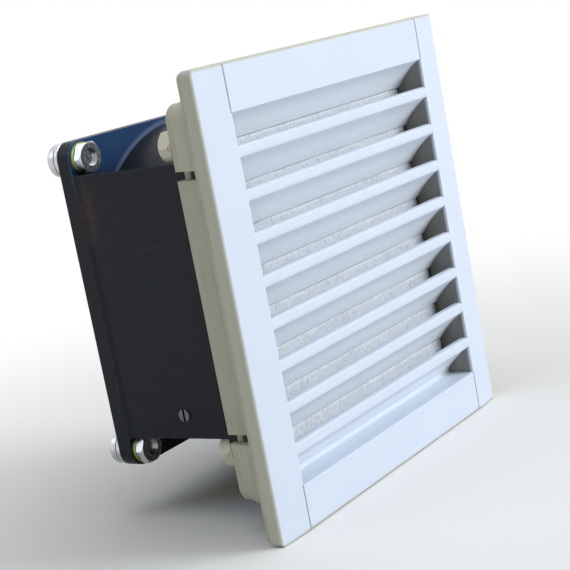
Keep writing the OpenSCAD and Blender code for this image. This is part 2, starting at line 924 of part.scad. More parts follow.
module rotor_shaft() {
    color("silver")
        difference() {
            turned()
                polygon([[0, cup_front], [shaft_d / 2, cup_front], [shaft_d / 2, shaft_rear - shaft_chamfer],
                    [shaft_d / 2 - shaft_chamfer, shaft_rear], [0, shaft_rear]]);
            difference() {
                rod_y(shaft_d + cut, clip_front, clip_front + clip_t);
                rod_y(groove_d, clip_front - cut, clip_front + clip_t + cut);
            }
        }
}

module rotor_cup() {
    color("lightsteelblue")
        difference() {
            union() {
                rod_y(2 * cup_r, cup_front, cup_rear);
            }
            difference() {
                rod_y(2 * ring_outer_r, cup_front + cup_plate_t, cup_rear + cut);
                rod_y(boss_d, cup_front, boss_rear);
            }
            rod_y(shaft_d, cup_front - cut, cup_rear);
        }
}

module rotor_ring() {
    color("dimgray")
        along_y(rotor_ring_front, rotor_ring_rear)
            difference() {
                circle(ring_outer_r);
                circle(rotor_bore_r);
            }
}

// One blade outline seen along the axis: it leans forward towards its tip
module fan_blade_outline() {
    steps = 5;
    lean = 14;
    root = hub_r - hub_wall / 2;
    function at_radius(i) = root + (tip_r - root) * i / steps;
    function point(i, side) =
        let (r = at_radius(i), a = lean * pow(i / steps, 2) + side * fan_blade_t / 2 / r * 180 / PI)
            [r * cos(a), r * sin(a)];
    polygon(concat([for (i = [0:steps]) point(i, -1)], [for (i = [steps:-1:0]) point(i, 1)]));
}

module impeller() {
    color(blade_black) {
        difference() {
            rod_y(2 * hub_r, hub_front, hub_rear);
            rod_y(2 * cup_r, cup_front, hub_rear + cut);
            rod_y(2 * cup_r * hub_dish_share, hub_front - cut, hub_front + hub_dish);
        }
        for (i = [0:fan_blades - 1])
            rotate([0, i * 360 / fan_blades, 0])
                translate([0, blade_front, 0])
                    rotate([-90, 0, 0])
                        linear_extrude(height = blade_rear - blade_front, twist = fan_blade_twist, slices = 12,
                            segments = 12)
                            fan_blade_outline();
    }
}

// Conical spring washer between the rotor's boss and the front bearing
module preload_washer() {
    inner = shaft_d / 2 + end_play;
    outer = boss_d / 2 - race_t;
    tip = front_bearing_front - end_play;
    color("silver")
        turned()
            polygon([[inner, boss_rear], [inner + preload_t, boss_rear], [outer, tip - preload_t], [outer, tip],
                [outer - preload_t, tip], [inner, boss_rear + preload_t]]);
}

module thrust_washer() {
    color("tan")
        difference() {
            rod_y(thrust_d, thrust_front, clip_front);
            rod_y(shaft_d, thrust_front - cut, clip_front + cut);
        }
}

module retaining_clip() {
    color("darkgray")
        difference() {
            rod_y(clip_d, clip_front, clip_front + clip_t);
            rod_y(groove_d, clip_front - cut, clip_front + clip_t + cut);
            box([0, clip_front - cut, -clip_mouth / 2], [clip_d, clip_front + clip_t + cut, clip_mouth / 2]);
        }
}

module rating_plate() {
    color("gainsboro")
        rod_y(carrier_d - 4 * strut_rise, carrier_rear, carrier_rear + rating_t);
}

module fan_screws() {
    color("silver")
        at_holes()
            difference() {
                union() {
                    countersink();
                    rod_y(thread_d, plate_front + csk_depth / 2, front_nut_rear - screw_end_inset);
                }
                cross_recess(plate_front);
            }
}

// A cross recess in a head whose face is at y
module cross_recess(y) {
    for (a = [0, 90])
        translate([0, y, 0])
            rotate([0, a, 0])
                cube([recess_l, 2 * pan_head_h * recess_depth_share, recess_w], center = true);
}

module washer(y0) {
    difference() {
        rod_y(washer_d, y0, y0 + washer_t);
        rod_y(thread_d, y0 - cut, y0 + washer_t + cut);
    }
}

module fan_washers() {
    color("ivory")
        at_holes()
            washer(front_flange_rear);
}

// A hexagon nut with chamfered corners, from y0 to y1
module nut(y0, y1) {
    corner_r = nut_af / 2 / cos(30);
    flat_r = nut_af / 2;
    difference() {
        intersection() {
            translate([0, y0, 0])
                rotate([-90, 0, 0])
                    cylinder(r = corner_r, h = y1 - y0, $fn = 6);
            turned()
                polygon([[0, y0], [flat_r, y0], [corner_r, y0 + nut_chamfer], [corner_r, y1 - nut_chamfer],
                    [flat_r, y1], [0, y1]]);
        }
        rod_y(thread_d, y0 - cut, y1 + cut);
    }
}

module fan_nuts() {
    color("ivory")
        at_holes()
            nut(front_washer_rear, front_nut_rear);
}

// Four legs with eyes, and rings welded to them
module finger_guard() {
    color("silver") {
        for (i = [0:ring_count - 1])
            turned()
                translate([ring_first_r + i * ring_step, ring_plane])
                    circle(d = wire_d);
        at_holes()
            turned()
                translate([eye_r, guard_plane])
                    circle(d = wire_d);
        for (a = [45:90:315])
            rotate([0, a, 0])
                guard_leg();
    }
}

// One leg of the guard, towards +X: from its eye up to the leg plane and in past the first ring
module guard_leg() {
    wire([eye_at - eye_r, guard_plane + weld], [leg_foot_r, guard_plane + weld]);
    knee([leg_foot_r, guard_plane + weld]);
    wire([leg_foot_r, guard_plane + weld], [leg_bend_r, leg_plane]);
    knee([leg_bend_r, leg_plane]);
    wire([leg_bend_r, leg_plane], [ring_first_r - wire_d, leg_plane]);
}

// A straight wire in the plane of X and Y
module wire(p, q) {
    d = q - p;
    translate([p[0], p[1], 0])
        rotate([0, 0, atan2(d[1], d[0])])
            rotate([0, 90, 0])
                cylinder(d = wire_d, h = norm(d));
}

// The outside of a bend between two wires
module knee(p) {
    translate([p[0], p[1], 0])
        sphere(d = wire_d + weld);
}

module guard_screws() {
    y0 = head_front;
    y1 = head_front + pan_head_h;
    color("silver")
        at_holes()
            difference() {
                union() {
                    turned()
                        polygon(concat([[0, y0], [pan_head_d / 2, y0]],
                            [for (i = [0:5])
                                let (a = 18 * i)
                                    [pan_head_d / 4 * (1 + cos(a)), y0 + pan_head_h / 2 * (1 + sin(a))]],
                            [[0, y1]]));
                    rod_y(thread_d, rear_nut_front + screw_end_inset, y0 + sink);
                }
                cross_recess(y1);
            }
}

module guard_washers() {
    color("darkkhaki")
        at_holes()
            washer(rear_washer_front);
}

module guard_nuts() {
    color("silver")
        at_holes()
            nut(rear_nut_front, rear_washer_front);
}

grille_cover();
filter_mat();
base_frame();
panel_gasket();
front_flange();
fan_duct();
side_walls();
rear_flange();
motor_carrier();
side_terminal_block();
terminal_tabs();
lead_wires();
earth_screw();
bearing_tube();
front_bearing();
rear_bearing();
stator_core();
coil_formers();
stator_coils();
rotor_shaft();
rotor_cup();
rotor_ring();
impeller();
preload_washer();
thrust_washer();
retaining_clip();
rating_plate();
fan_screws();
fan_washers();
fan_nuts();
finger_guard();
guard_screws();
guard_washers();
guard_nuts();
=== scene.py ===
"""Looks for an enclosure filter fan: cover, fleece mat, cast frame, impeller, wire guard and fixings."""

import math

import bmesh
import bpy
import numpy as np
from bpy.props import FloatProperty, FloatVectorProperty, IntProperty, PointerProperty
from mathutils import Matrix, Vector


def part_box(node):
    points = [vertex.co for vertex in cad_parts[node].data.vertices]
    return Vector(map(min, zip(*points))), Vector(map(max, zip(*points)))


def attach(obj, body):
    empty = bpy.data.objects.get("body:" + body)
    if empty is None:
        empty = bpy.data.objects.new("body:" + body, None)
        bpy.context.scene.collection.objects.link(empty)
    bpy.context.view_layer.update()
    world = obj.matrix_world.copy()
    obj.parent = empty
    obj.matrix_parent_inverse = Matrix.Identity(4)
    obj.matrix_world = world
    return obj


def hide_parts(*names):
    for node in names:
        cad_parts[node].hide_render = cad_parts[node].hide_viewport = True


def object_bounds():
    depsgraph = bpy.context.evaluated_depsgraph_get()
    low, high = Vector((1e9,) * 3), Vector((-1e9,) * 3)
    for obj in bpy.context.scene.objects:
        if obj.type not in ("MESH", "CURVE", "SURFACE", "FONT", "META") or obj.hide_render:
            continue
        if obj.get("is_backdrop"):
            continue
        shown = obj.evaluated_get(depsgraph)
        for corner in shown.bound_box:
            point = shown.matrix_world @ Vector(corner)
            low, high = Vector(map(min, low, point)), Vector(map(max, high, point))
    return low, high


bl_info = {
    "name": "Enclosure filter fan",
    "version": (1, 0, 0),
    "blender": (4, 5, 0),
    "location": "View3D > Sidebar > Filter fan",
    "description": "Finishes and fine pieces for a panel-mounted filter fan",
    "category": "Object",
}

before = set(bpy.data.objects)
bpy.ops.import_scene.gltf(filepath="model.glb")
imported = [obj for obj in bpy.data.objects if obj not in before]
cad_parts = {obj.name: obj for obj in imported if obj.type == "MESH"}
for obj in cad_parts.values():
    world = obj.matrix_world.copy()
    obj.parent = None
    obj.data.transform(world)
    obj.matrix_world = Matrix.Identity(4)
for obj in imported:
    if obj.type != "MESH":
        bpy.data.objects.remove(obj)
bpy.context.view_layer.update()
MM = 0.001

# Sizes of the CAD's shapes that can't be read from the boxes of its nodes
OPENING = 83.6 * MM  # side of the square opening in the cover
DUCT_RADIUS = 37 * MM
HUB_WALL = 1.6 * MM
GUARD_WIRE = 1.6 * MM
GUARD_RINGS = (8 * MM, 17 * MM, 26 * MM, 35 * MM)
GUARD_LEGS = 4

# Shapes that only the scene has
BLADE_TURN = math.radians(42)  # how far a blade turns from its front to its rear edge
BLADE_LEAN = math.radians(14)  # how far its tip lags behind its root
BLADE_EDGE = 0.8 * MM  # room between the blades and the hub's front and rear
BLADE_TRIM = 1.6 * MM  # how far the tip's edges draw back
HUB_TURNS = 96  # points round the hub
HUB_DISH = (0.76, 0.80)  # edges of the hub's dished face, as shares of its inner radius
MAT_POINTS = 190  # points along each side of the mat's faces
MAT_EDGE = 26  # how squarely the mat's faces fall off towards their edges
MAT_CORNER = 0.016  # share by which the mat's corners are drawn in
LARGE_LUMPS, SMALL_LUMPS = (5 * MM, 22 * MM), (1.6 * MM, 4 * MM)  # wavelengths of the fleece's lumps
STRAND_POINTS = 8  # points along a fibre
STRAND_REACH = (1.5 * MM, 6.5 * MM)  # least and greatest length of a fibre
STRAND_AREA = 0.92  # share of the mat's half width that has fibres
WELD_TURNS, WELD_ROWS = 14, 9  # points round a weld bead, and from its bottom to its top
WELD_LONG, WELD_FLAT = 1.25, 0.75  # a bead's length along its leg and its height, next to its width
PLATE_LINE = (17.6 * MM, 18.7 * MM)  # inner and outer radius of the border printed on the plate

# The stage
FLOOR_REACH = 3
FLOOR_NEAR, FLOOR_FAR = 0.07, 0.30  # radii between which the floor turns white
COOL, DAY, SKY, WARM = (0.90, 0.95, 1.0), (0.97, 0.98, 1.0), (0.62, 0.78, 1.0), (1.0, 0.96, 0.80)
WHITE = (1.0, 1.0, 1.0)
LAMPS = (  # name, setting for the power, place, width and height, colour
    ("key_light", "key", (0.62, -1.30, 0.72), (0.8, 0.45), COOL),
    ("low_light", "fill", (0.50, -1.10, 0.03), (0.9, 0.14), COOL),
    ("top_light", "top", (0.15, -0.20, 1.50), (1.5, 1.5), DAY),
    ("rim_light", "rim", (-0.75, 0.75, 0.95), (0.8, 0.8), SKY),
)
LENS, SENSOR = 95.52, 36
CAMERA_PLACE = (-0.29979, -0.19789, 0.06284)
CAMERA_RIGHT = (0.54822, -0.81589, -0.18382)
CAMERA_DOWN = (-0.25457, 0.04657, -0.96593)
CAMERA_AHEAD = (0.79665, 0.57633, -0.18216)


# Sizes and colours that a user would change


def colour(name, description, default):
    """A colour property with linear values from 0 to 1."""
    return FloatVectorProperty(
        name=name, description=description, subtype="COLOR", size=3, min=0, max=1, default=default
    )


def metres(name, description, default):
    """A length property."""
    return FloatProperty(name=name, description=description, default=default, unit="LENGTH")


def watts(name, description, default):
    """A property for a lamp's power."""
    return FloatProperty(name=name, description=description, default=default, unit="POWER")


class CoverLooks(bpy.types.PropertyGroup):
    shell: colour("Cover colour", "Colour of the moulded cover", (0.67, 0.74, 0.865))
    # Painted shade: the cover's white-grey, darkened and warmed, for the base and the cover's shaded outer
    # sides
    base: colour("Base colour", "Colour of the base and of the cover's edge", (0.49, 0.485, 0.385))
    # Painted light: a lighter plastic colour deep between the louvres
    clean: colour("Painted light colour", "Colour of the plastic deep between the louvres", (0.90, 0.945, 1.0))
    # Painted shade: the dark olive on the slots' end walls stands in for their shade
    shadow: colour("Painted shade colour", "Colour of the grime at the louvres' ends", (0.115, 0.100, 0.058))
    grain: metres("Grain", "Depth of the moulded grain", 0.012 * MM)


class MatLooks(bpy.types.PropertyGroup):
    fleece: colour("Fleece colour", "Colour of the filter fleece", (0.95, 0.98, 1.0))
    lump: metres("Lumps", "Height of the lumps in the fleece", 0.35 * MM)
    swell: metres("Swell", "How far the fleece swells out to the louvres", 0.42 * MM)
    strands: IntProperty(name="Fibres", description="Fibres on each face of the mat", default=1500)
    strand: metres("Fibre thickness", "Diameter of a fibre", 0.09 * MM)


class FanLooks(bpy.types.PropertyGroup):
    frame_black: colour("Frame colour", "Colour of the cast fan frame", (0.006, 0.008, 0.012))
    # Painted reflection: this colour at the top of the rear flange stands in for a reflection
    painted_reflection: colour("Blue tint", "Colour of the lacquer at the top of the rear flange", (0.024, 0.075, 0.205))
    blade_black: colour("Blade colour", "Colour of the impeller", (0.013, 0.013, 0.015))
    blades: IntProperty(name="Blades", description="Number of impeller blades", default=5)
    blade_t: metres("Blade thickness", "Thickness of a blade about its middle", 2.3 * MM)
    tip_gap: metres("Tip gap", "Gap between the blade tips and the duct", 0.85 * MM)


class MetalLooks(bpy.types.PropertyGroup):
    steel: colour("Steel colour", "Colour of plated steel", (0.62, 0.63, 0.65))
    oxide: colour("Oxide colour", "Colour of the blackened earth screw", (0.15, 0.155, 0.165))
    zinc: colour("Zinc colour", "Colour of yellow passivated zinc", (0.42, 0.38, 0.12))
    nylon: colour("Nylon colour", "Colour of the nylon fixings", (0.74, 0.72, 0.62))
    bead: metres("Weld bead", "Radius of a weld between guard wires", 1.0 * MM)


class StageLooks(bpy.types.PropertyGroup):
    key: watts("Key light", "Power of the key light", 13.2)
    fill: watts("Low light", "Power of the low light in front", 2.9)
    top: watts("Top light", "Power of the light above", 12.0)
    rim: watts("Rim light", "Power of the light from behind", 3.0)
    ambient: FloatProperty(name="Ambient", description="Strength of the light from all round", default=0.24)
    floor: colour("Floor colour", "Colour of the floor", (0.88, 0.88, 0.88))


# Shader maths


class Signal:
    """One shader socket. Sums, products and powers of signals add Math nodes."""

    def __init__(self, shade, socket):
        self.shade, self.socket = shade, socket

    def _math(self, operation, first, second=0.0):
        return self.shade.node("Math", {"operation": operation}, {0: first, 1: second})

    def __add__(self, other):
        return self._math("ADD", self, other)

    __radd__ = __add__

    def __mul__(self, other):
        return self._math("MULTIPLY", self, other)

    __rmul__ = __mul__

    def __sub__(self, other):
        return self._math("SUBTRACT", self, other)

    def __rsub__(self, other):
        return self._math("SUBTRACT", other, self)

    def __pow__(self, other):
        return self._math("POWER", self, other)

    def absolute(self):
        return self._math("ABSOLUTE", self)

    def sine(self):
        return self._math("SINE", self)

    def least(self, other):
        return self._math("MINIMUM", self, other)

    def most(self, other):
        return self._math("MAXIMUM", self, other)


class Shade:
    """A material's node tree, with the few patterns that the finishes share."""

    def __init__(self, tree):
        self.tree = tree
        tree.nodes.clear()

    def node(self, kind, settings=None, values=None, out=0):
        """Adds a node of a kind, sets its settings first, and then its sockets' values or links."""
        made = self.tree.nodes.new("ShaderNode" + kind)
        for name, value in (settings or {}).items():
            setattr(made, name, value)
        for name, value in (values or {}).items():
            self.put(made.inputs[name], value)
        return Signal(self, made.outputs[out])

    def put(self, socket, value):
        """Links a signal to a socket, or sets a plain value on it."""
        if isinstance(value, Signal):
            self.tree.links.new(value.socket, socket)
        elif socket.type == "RGBA" and len(value) == 3:
            socket.default_value = (*value, 1.0)
        else:
            socket.default_value = value

    def place(self, scale):
        """The point in the object's own frame, in metres, times a scale."""
        coords = self.node("TexCoord", out="Object")
        return self.node("Mapping", None, {"Vector": coords, "Scale": scale})

    def axes(self):
        """The point's x, y and z in metres."""
        split = self.tree.nodes.new("ShaderNodeSeparateXYZ")
        self.put(split.inputs[0], self.node("TexCoord", out="Object"))
        return [Signal(self, split.outputs[i]) for i in range(3)]

    def noise(self, size, detail=2.0, stretch=(1, 1, 1), roughness=0.5, warp=0.0):
        """Noise from 0 to 1 whose features are about size across, in metres."""
        values = {"Vector": self.place(stretch), "Scale": 1 / size, "Detail": detail}
        values.update({"Roughness": roughness, "Distortion": warp})
        return self.node("TexNoise", None, values)

    def cells(self, size):
        """Distance inside random cells about size across, in metres."""
        return self.node("TexVoronoi", None, {"Vector": self.place((1, 1, 1)), "Scale": 1 / size})

    def step(self, signal, low, high, start=0.0, end=1.0):
        """A smooth rise from start to end while the signal goes from low to high."""
        values = {"Value": signal, "From Min": low, "From Max": high, "To Min": start, "To Max": end}
        return self.node("MapRange", {"interpolation_type": "SMOOTHSTEP"}, values)

    def blend(self, share, first, second):
        """The first colour where share is 0 and the second where it is 1."""
        made = self.tree.nodes.new("ShaderNodeMix")
        made.data_type = "RGBA"
        self.put(made.inputs[0], share)
        self.put(made.inputs[6], first)
        self.put(made.inputs[7], second)
        return Signal(self, made.outputs[2])

    def soft_edges(self, radius):
        """The normal with every sharp edge rounded by a radius, in metres."""
        return self.node("Bevel", {"samples": 6}, {"Radius": radius})

    def edge_mask(self, rounded, low=0.004, high=0.12):
        """1 along sharp edges and 0 on flat ground, from a rounded normal."""
        flat = self.node("NewGeometry", out="True Normal")
        level = self.node("VectorMath", {"operation": "DOT_PRODUCT"}, {0: rounded, 1: flat}, out="Value")
        return self.step(1.0 - level, low, high)

    def relief(self, height, depth, normal=None):
        """A bumped normal: height from 0 to 1 stands for a depth in metres."""
        values = {"Height": height, "Distance": depth, "Strength": 1.0}
        if normal is not None:
            values["Normal"] = normal
        return self.node("Bump", None, values)


def material(name, recipe, **settings):
    """A material from a recipe, a function that takes a Shade and gives the sockets' values."""
    made = bpy.data.materials.new(name)
    made.use_nodes = True
    shade = Shade(made.node_tree)
    surface = shade.node("BsdfPrincipled", None, recipe(shade, **settings), out="BSDF")
    link_output(shade, surface)
    return made


def link_output(shade, surface):
    """Ends a node tree with its output."""
    end = shade.tree.nodes.new("ShaderNodeOutputMaterial")
    shade.put(end.inputs["Surface"], surface)


# Finishes


def fine_plastic(shade, tone, grain, tint=None, dust=(0.45, 0.43, 0.36), smudge=0.35):
    """Moulded ABS: a fine spark-eroded grain, faint flow marks, softened edges, and dust with painted shade
    in corners.
    A tint takes a shade and the colour so far, and gives the colour with the piece's own marks."""
    rounded = shade.soft_edges(0.35 * MM)
    grains = shade.noise(0.22 * MM, detail=3.0, roughness=0.6)
    flow = shade.noise(34 * MM, detail=3.0, stretch=(1, 1, 0.35), warp=0.8)
    cloud = shade.noise(9 * MM, detail=4.0)
    specks = shade.step(shade.cells(2.6 * MM), 0.0, 0.055, 1.0, 0.0) * shade.step(cloud, 0.55, 0.7)
    edges = shade.edge_mask(rounded)
    # Dust and painted shade: occluded corners darken towards the dust colour
    ambient_occlusion = shade.node("AmbientOcclusion", {"samples": 6}, {"Distance": 2.5 * MM}, out="AO")
    corners = shade.step(ambient_occlusion, 0.25, 0.85, 1.0, 0.0)
    base = shade.blend(flow, tone, tuple(v * 0.93 for v in tone))
    base = tint(shade, base) if tint else base
    base = shade.blend(corners * (0.06 + 0.20 * cloud), base, dust)
    base = shade.blend(specks * smudge, base, dust)
    base = shade.blend(edges * 0.20, base, tuple(min(v * 1.08, 1.0) for v in tone))
    height = grains * 0.75 + shade.noise(1.6 * MM, detail=2.0) * 0.25
    return {
        "Base Color": base,
        "Roughness": 0.40 + 0.14 * grains + 0.10 * corners - 0.06 * edges,
        "Normal": shade.relief(height, grain, rounded),
        "IOR": 1.47,
        "Subsurface Weight": 0.06,
        "Subsurface Radius": (0.9, 0.8, 0.7),
        "Subsurface Scale": 1.2 * MM,
    }


def cover_marks(shade, base, painted_shade_side_tone, painted_shade, clean):
    """The cover's marks: painted shade in the darker base colour on the outer sides, painted light in
    lighter plastic deep between the louvres, less so in the lowest slot, and painted shade on the walls
    at the louvres' ends."""
    low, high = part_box("grille_cover")
    x, y, z = shade.axes()
    across = x.absolute()
    # Painted light: the plastic deep between the louvres is lighter, less so in the lowest slot
    lowest = shade.step(z, -OPENING / 2, -OPENING / 2 + 5 * MM, 0.5, 1.0)
    base = shade.blend(shade.step(y, low[1] + 1.2 * MM, low[1] + 6 * MM) * lowest, base, clean)
    cloud = shade.noise(4 * MM, detail=4.0)
    # Painted shade: the cover's outer sides take the darker, warmer base colour
    side = shade.step(across.most(z.absolute()), high[0] - 0.9 * MM, high[0] - 0.1 * MM)
    base = shade.blend(side * (0.85 + 0.15 * cloud), base, painted_shade_side_tone)
    # Painted shade: the end walls of the slots, deep behind the louvres, turn dark olive
    wall = shade.step(across, OPENING / 2 - 0.25 * MM, OPENING / 2 - 0.10 * MM)
    wall = wall * shade.step(across, OPENING / 2 + 0.15 * MM, OPENING / 2 + 0.30 * MM, 1.0, 0.0)
    deep = shade.step(y, low[1] + 0.3 * MM, low[1] + 1.0 * MM)
    deep = deep * shade.step(y, low[1] + 3 * MM, high[1], 0.88, 1.0)
    return shade.blend(wall * deep * (0.86 + 0.14 * cloud), base, painted_shade)


def side_smudges(shade, base):
    """Brownish finger marks and rubbed dirt on the base's sides, drawn out along the height."""
    streaks = shade.step(shade.noise(3.2 * MM, detail=6.0, stretch=(1, 1, 0.3), roughness=0.7), 0.50, 0.70)
    patches = shade.step(shade.noise(19 * MM, detail=3.0), 0.42, 0.66)
    return shade.blend(streaks * patches * 0.55, base, (0.30, 0.25, 0.15))


def fleece(shade, tone):
    """Felted polyester: fine crossing fibres, tufts and a little dust on the raised parts."""
    fibres = 0
    layers = ((0.30, (1, 1, 0.10), 1.2), (0.26, (0.10, 1, 1), 2.2), (0.22, (0.4, 1, 0.16), 3.2))
    for size, stretch, warp in layers:
        layer = shade.noise(size * MM, detail=3.0, stretch=stretch, roughness=0.65, warp=warp)
        fibres = fibres + layer * 0.33
    tufts = shade.noise(3.2 * MM, detail=4.0, roughness=0.6, warp=0.6)
    dust = shade.step(shade.noise(14 * MM, detail=5.0), 0.48, 0.74)
    base = shade.blend(shade.step(fibres, 0.36, 0.62), tuple(v * 0.88 for v in tone), tone)
    base = shade.blend(dust * 0.10, base, (0.50, 0.50, 0.48))
    base = shade.blend(shade.step(tufts, 0.35, 0.6, 0.15, 0.0), base, (0.62, 0.68, 0.78))
    flecks = shade.step(shade.noise(0.8 * MM, detail=2.0, roughness=0.4), 0.54, 0.66)
    base = shade.blend(flecks * 0.45, base, (0.52, 0.56, 0.64))
    return {
        "Base Color": base,
        "Roughness": 0.85 + 0.12 * fibres,
        "Normal": shade.relief(fibres * 0.5 + tufts * 0.5, 0.3 * MM),
        "Sheen Weight": 0.8,
        "Sheen Roughness": 0.5,
    }


def strand_finish(shade, tone):
    """Loose polyester fibre: translucent, a little uneven along its length."""
    streak = shade.noise(1.4 * MM, detail=2.0)
    return {
        "Base Color": shade.blend(streak, tuple(v * 0.86 for v in tone), tone),
        "Roughness": 0.45 + 0.2 * streak,
        "Sheen Weight": 0.2,
    }


def foam(shade, tone):
    """Closed-cell foam: small open cells over a soft, uneven skin."""
    cells = shade.cells(0.55 * MM)
    pores = shade.step(cells, 0.10, 0.42)
    patch = shade.noise(5 * MM, detail=3.0)
    return {
        "Base Color": shade.blend(pores * (0.5 + 0.5 * patch), tuple(v * 0.45 for v in tone), tone),
        "Roughness": 0.95 - 0.12 * pores,
        "Normal": shade.relief(pores, 0.12 * MM, shade.soft_edges(0.25 * MM)),
    }


def flange_painted_reflection(shade, base, painted_reflection_tint):
    """A painted reflection at the top of the rear flange's front, with a painted highlight round the duct."""
    low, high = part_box("rear_flange")
    x, y, z = shade.axes()
    near = shade.step(y, low[1] + 0.2 * MM, low[1] + 0.6 * MM, 1.0, 0.0)
    cloud = shade.noise(9 * MM, detail=3.0)
    up = shade.step(z + cloud * 5 * MM, high[2] - 13 * MM, high[2] - 4 * MM)
    # Painted reflection: the colour at the top of the flange's front
    base = shade.blend(near * up * (0.70 + 0.30 * cloud), base, painted_reflection_tint)
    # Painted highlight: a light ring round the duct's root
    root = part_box("fan_duct")[1][0] + 0.6 * MM
    line = shade.step(((x * x + z * z) ** 0.5 - root).absolute(), 0.2 * MM, 0.9 * MM, 1.0, 0.0)
    return shade.blend(line * near * up * 0.7, base, tuple(0.16 + v for v in painted_reflection_tint))


def wall_tint(shade, base):
    """A faint brown patch near the top rear of the left wall."""
    _, y, z = shade.axes()
    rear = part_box("side_walls")[1][1]
    off = (((y - rear + 1.6 * MM) * 3) ** 2 + (z - 23.5 * MM) ** 2) ** 0.5
    cloud = shade.noise(3 * MM, detail=4.0)
    return shade.blend(shade.step(off, 3 * MM, 11 * MM, 0.5, 0.0) * cloud, base, (0.13, 0.075, 0.045))


def black_casting(shade, tone, tint=None):
    """Black-lacquered die casting: orange peel, fine dust, rubbed edges and a few hairline scratches."""
    rounded = shade.soft_edges(0.30 * MM)
    peel = shade.noise(0.9 * MM, detail=3.0, roughness=0.55)
    fine = shade.noise(0.16 * MM, detail=2.0)
    cloud = shade.noise(16 * MM, detail=4.0, warp=0.5)
    dust = shade.step(shade.noise(4.5 * MM, detail=6.0, roughness=0.7), 0.5, 0.78)
    scratch = shade.step(shade.noise(0.5 * MM, detail=1.0, stretch=(1, 0.03, 1), warp=0.2), 0.70, 0.76)
    edges = shade.edge_mask(rounded, 0.01, 0.16)
    rubbed = edges * shade.step(shade.noise(1.2 * MM, detail=4.0), 0.46, 0.66)
    base = shade.blend(cloud, tone, tuple(v * 1.7 + 0.002 for v in tone))
    base = tint(shade, base) if tint else base
    base = shade.blend(dust * 0.06, base, (0.20, 0.20, 0.19))
    base = shade.blend((rubbed * 0.30 + scratch * 0.04).least(0.5), base, (0.30, 0.31, 0.33))
    return {
        "Base Color": base,
        "Roughness": 0.36 + 0.12 * peel + 0.18 * dust - 0.08 * edges,
        "Normal": shade.relief(peel * 0.7 + fine * 0.3, 0.018 * MM, rounded),
        "Coat Weight": 0.08 * (1.0 - dust),
        "Coat Roughness": 0.22,
        "Specular IOR Level": 0.14,
    }


def glossy_plastic(shade, tone, rough=0.30):
    """Moulded technical plastic: fine grain, flow marks and soft edges."""
    rounded = shade.soft_edges(0.18 * MM)
    grains = shade.noise(0.12 * MM, detail=2.0)
    flow = shade.noise(6 * MM, detail=4.0, stretch=(1, 0.4, 1), warp=0.8)
    lighter = tuple(v * 1.35 + 0.002 for v in tone)
    base = shade.blend(flow, tone, lighter)
    base = shade.blend(shade.edge_mask(rounded) * 0.12, base, tuple(min(v * 1.6 + 0.02, 1.0) for v in tone))
    return {
        "Base Color": base,
        "Roughness": rough + 0.10 * grains + 0.10 * flow,
        "Normal": shade.relief(grains, 0.006 * MM, rounded),
    }


def nylon(shade, tone):
    """Natural polyamide: cream, slightly cloudy and translucent, with a dull moulded skin."""
    rounded = shade.soft_edges(0.25 * MM)
    cloud = shade.noise(1.8 * MM, detail=4.0)
    grains = shade.noise(0.10 * MM, detail=2.0)
    ambient_occlusion = shade.node("AmbientOcclusion", {"samples": 4}, {"Distance": 2 * MM}, out="AO")
    base = shade.blend(cloud, tone, (tone[0] * 0.90, tone[1] * 0.86, tone[2] * 0.74))
    # Painted shade: occluded places turn a darker brown
    base = shade.blend(shade.step(ambient_occlusion, 0.3, 0.9, 0.35, 0.0), base, (0.30, 0.27, 0.20))
    return {
        "Base Color": base,
        "Roughness": 0.36 + 0.14 * grains + 0.06 * cloud,
        "Normal": shade.relief(grains * 0.5 + cloud * 0.5, 0.01 * MM, rounded),
        "Subsurface Weight": 0.18,
        "Subsurface Radius": (1.0, 0.9, 0.7),
        "Subsurface Scale": 0.8 * MM,
    }


def plated_steel(shade, tone, rough=0.20, stain=(0.32, 0.29, 0.22)):
    """Plated steel: fine drawing marks, spots where the plating has dulled, and bright edges."""
    rounded = shade.soft_edges(0.15 * MM)
    drawn = shade.noise(0.12 * MM, detail=2.0, stretch=(1, 0.15, 1))
    spots = shade.step(shade.noise(1.1 * MM, detail=5.0, roughness=0.65), 0.52, 0.76)
    edges = shade.edge_mask(rounded)
    base = shade.blend(drawn * 0.5 + 0.2, tone, tuple(v * 0.82 for v in tone))
    base = shade.blend(spots * 0.35, base, stain)
    base = shade.blend(edges * 0.4, base, tuple(min(v * 1.25, 0.95) for v in tone))
    return {
        "Base Color": base,
        "Metallic": 1.0 - 0.25 * spots,
        "Roughness": rough + 0.14 * drawn + 0.25 * spots,
        "Normal": shade.relief(drawn * 0.4 + spots * 0.6, 0.006 * MM, rounded),
    }


def yellow_zinc(shade, tone):
    """Yellow chromate on zinc: a faint rainbow of straw, green and rose, with dull spots."""
    rounded = shade.soft_edges(0.15 * MM)
    film = shade.noise(1.5 * MM, detail=4.0, warp=1.2)
    spots = shade.step(shade.noise(0.7 * MM, detail=4.0), 0.55, 0.75)
    base = shade.blend(shade.step(film, 0.35, 0.65), tone, (tone[0] * 0.7, tone[1] * 1.1, tone[2] * 1.3))
    base = shade.blend(shade.step(film, 0.58, 0.75) * 0.6, base, (0.55, 0.33, 0.20))
    base = shade.blend(spots * 0.5, base, (0.24, 0.22, 0.14))
    return {
        "Base Color": base,
        "Metallic": 1.0 - 0.3 * spots,
        "Roughness": 0.34 + 0.14 * film + 0.15 * spots,
        "Normal": shade.relief(film * 0.5 + spots * 0.5, 0.008 * MM, rounded),
    }


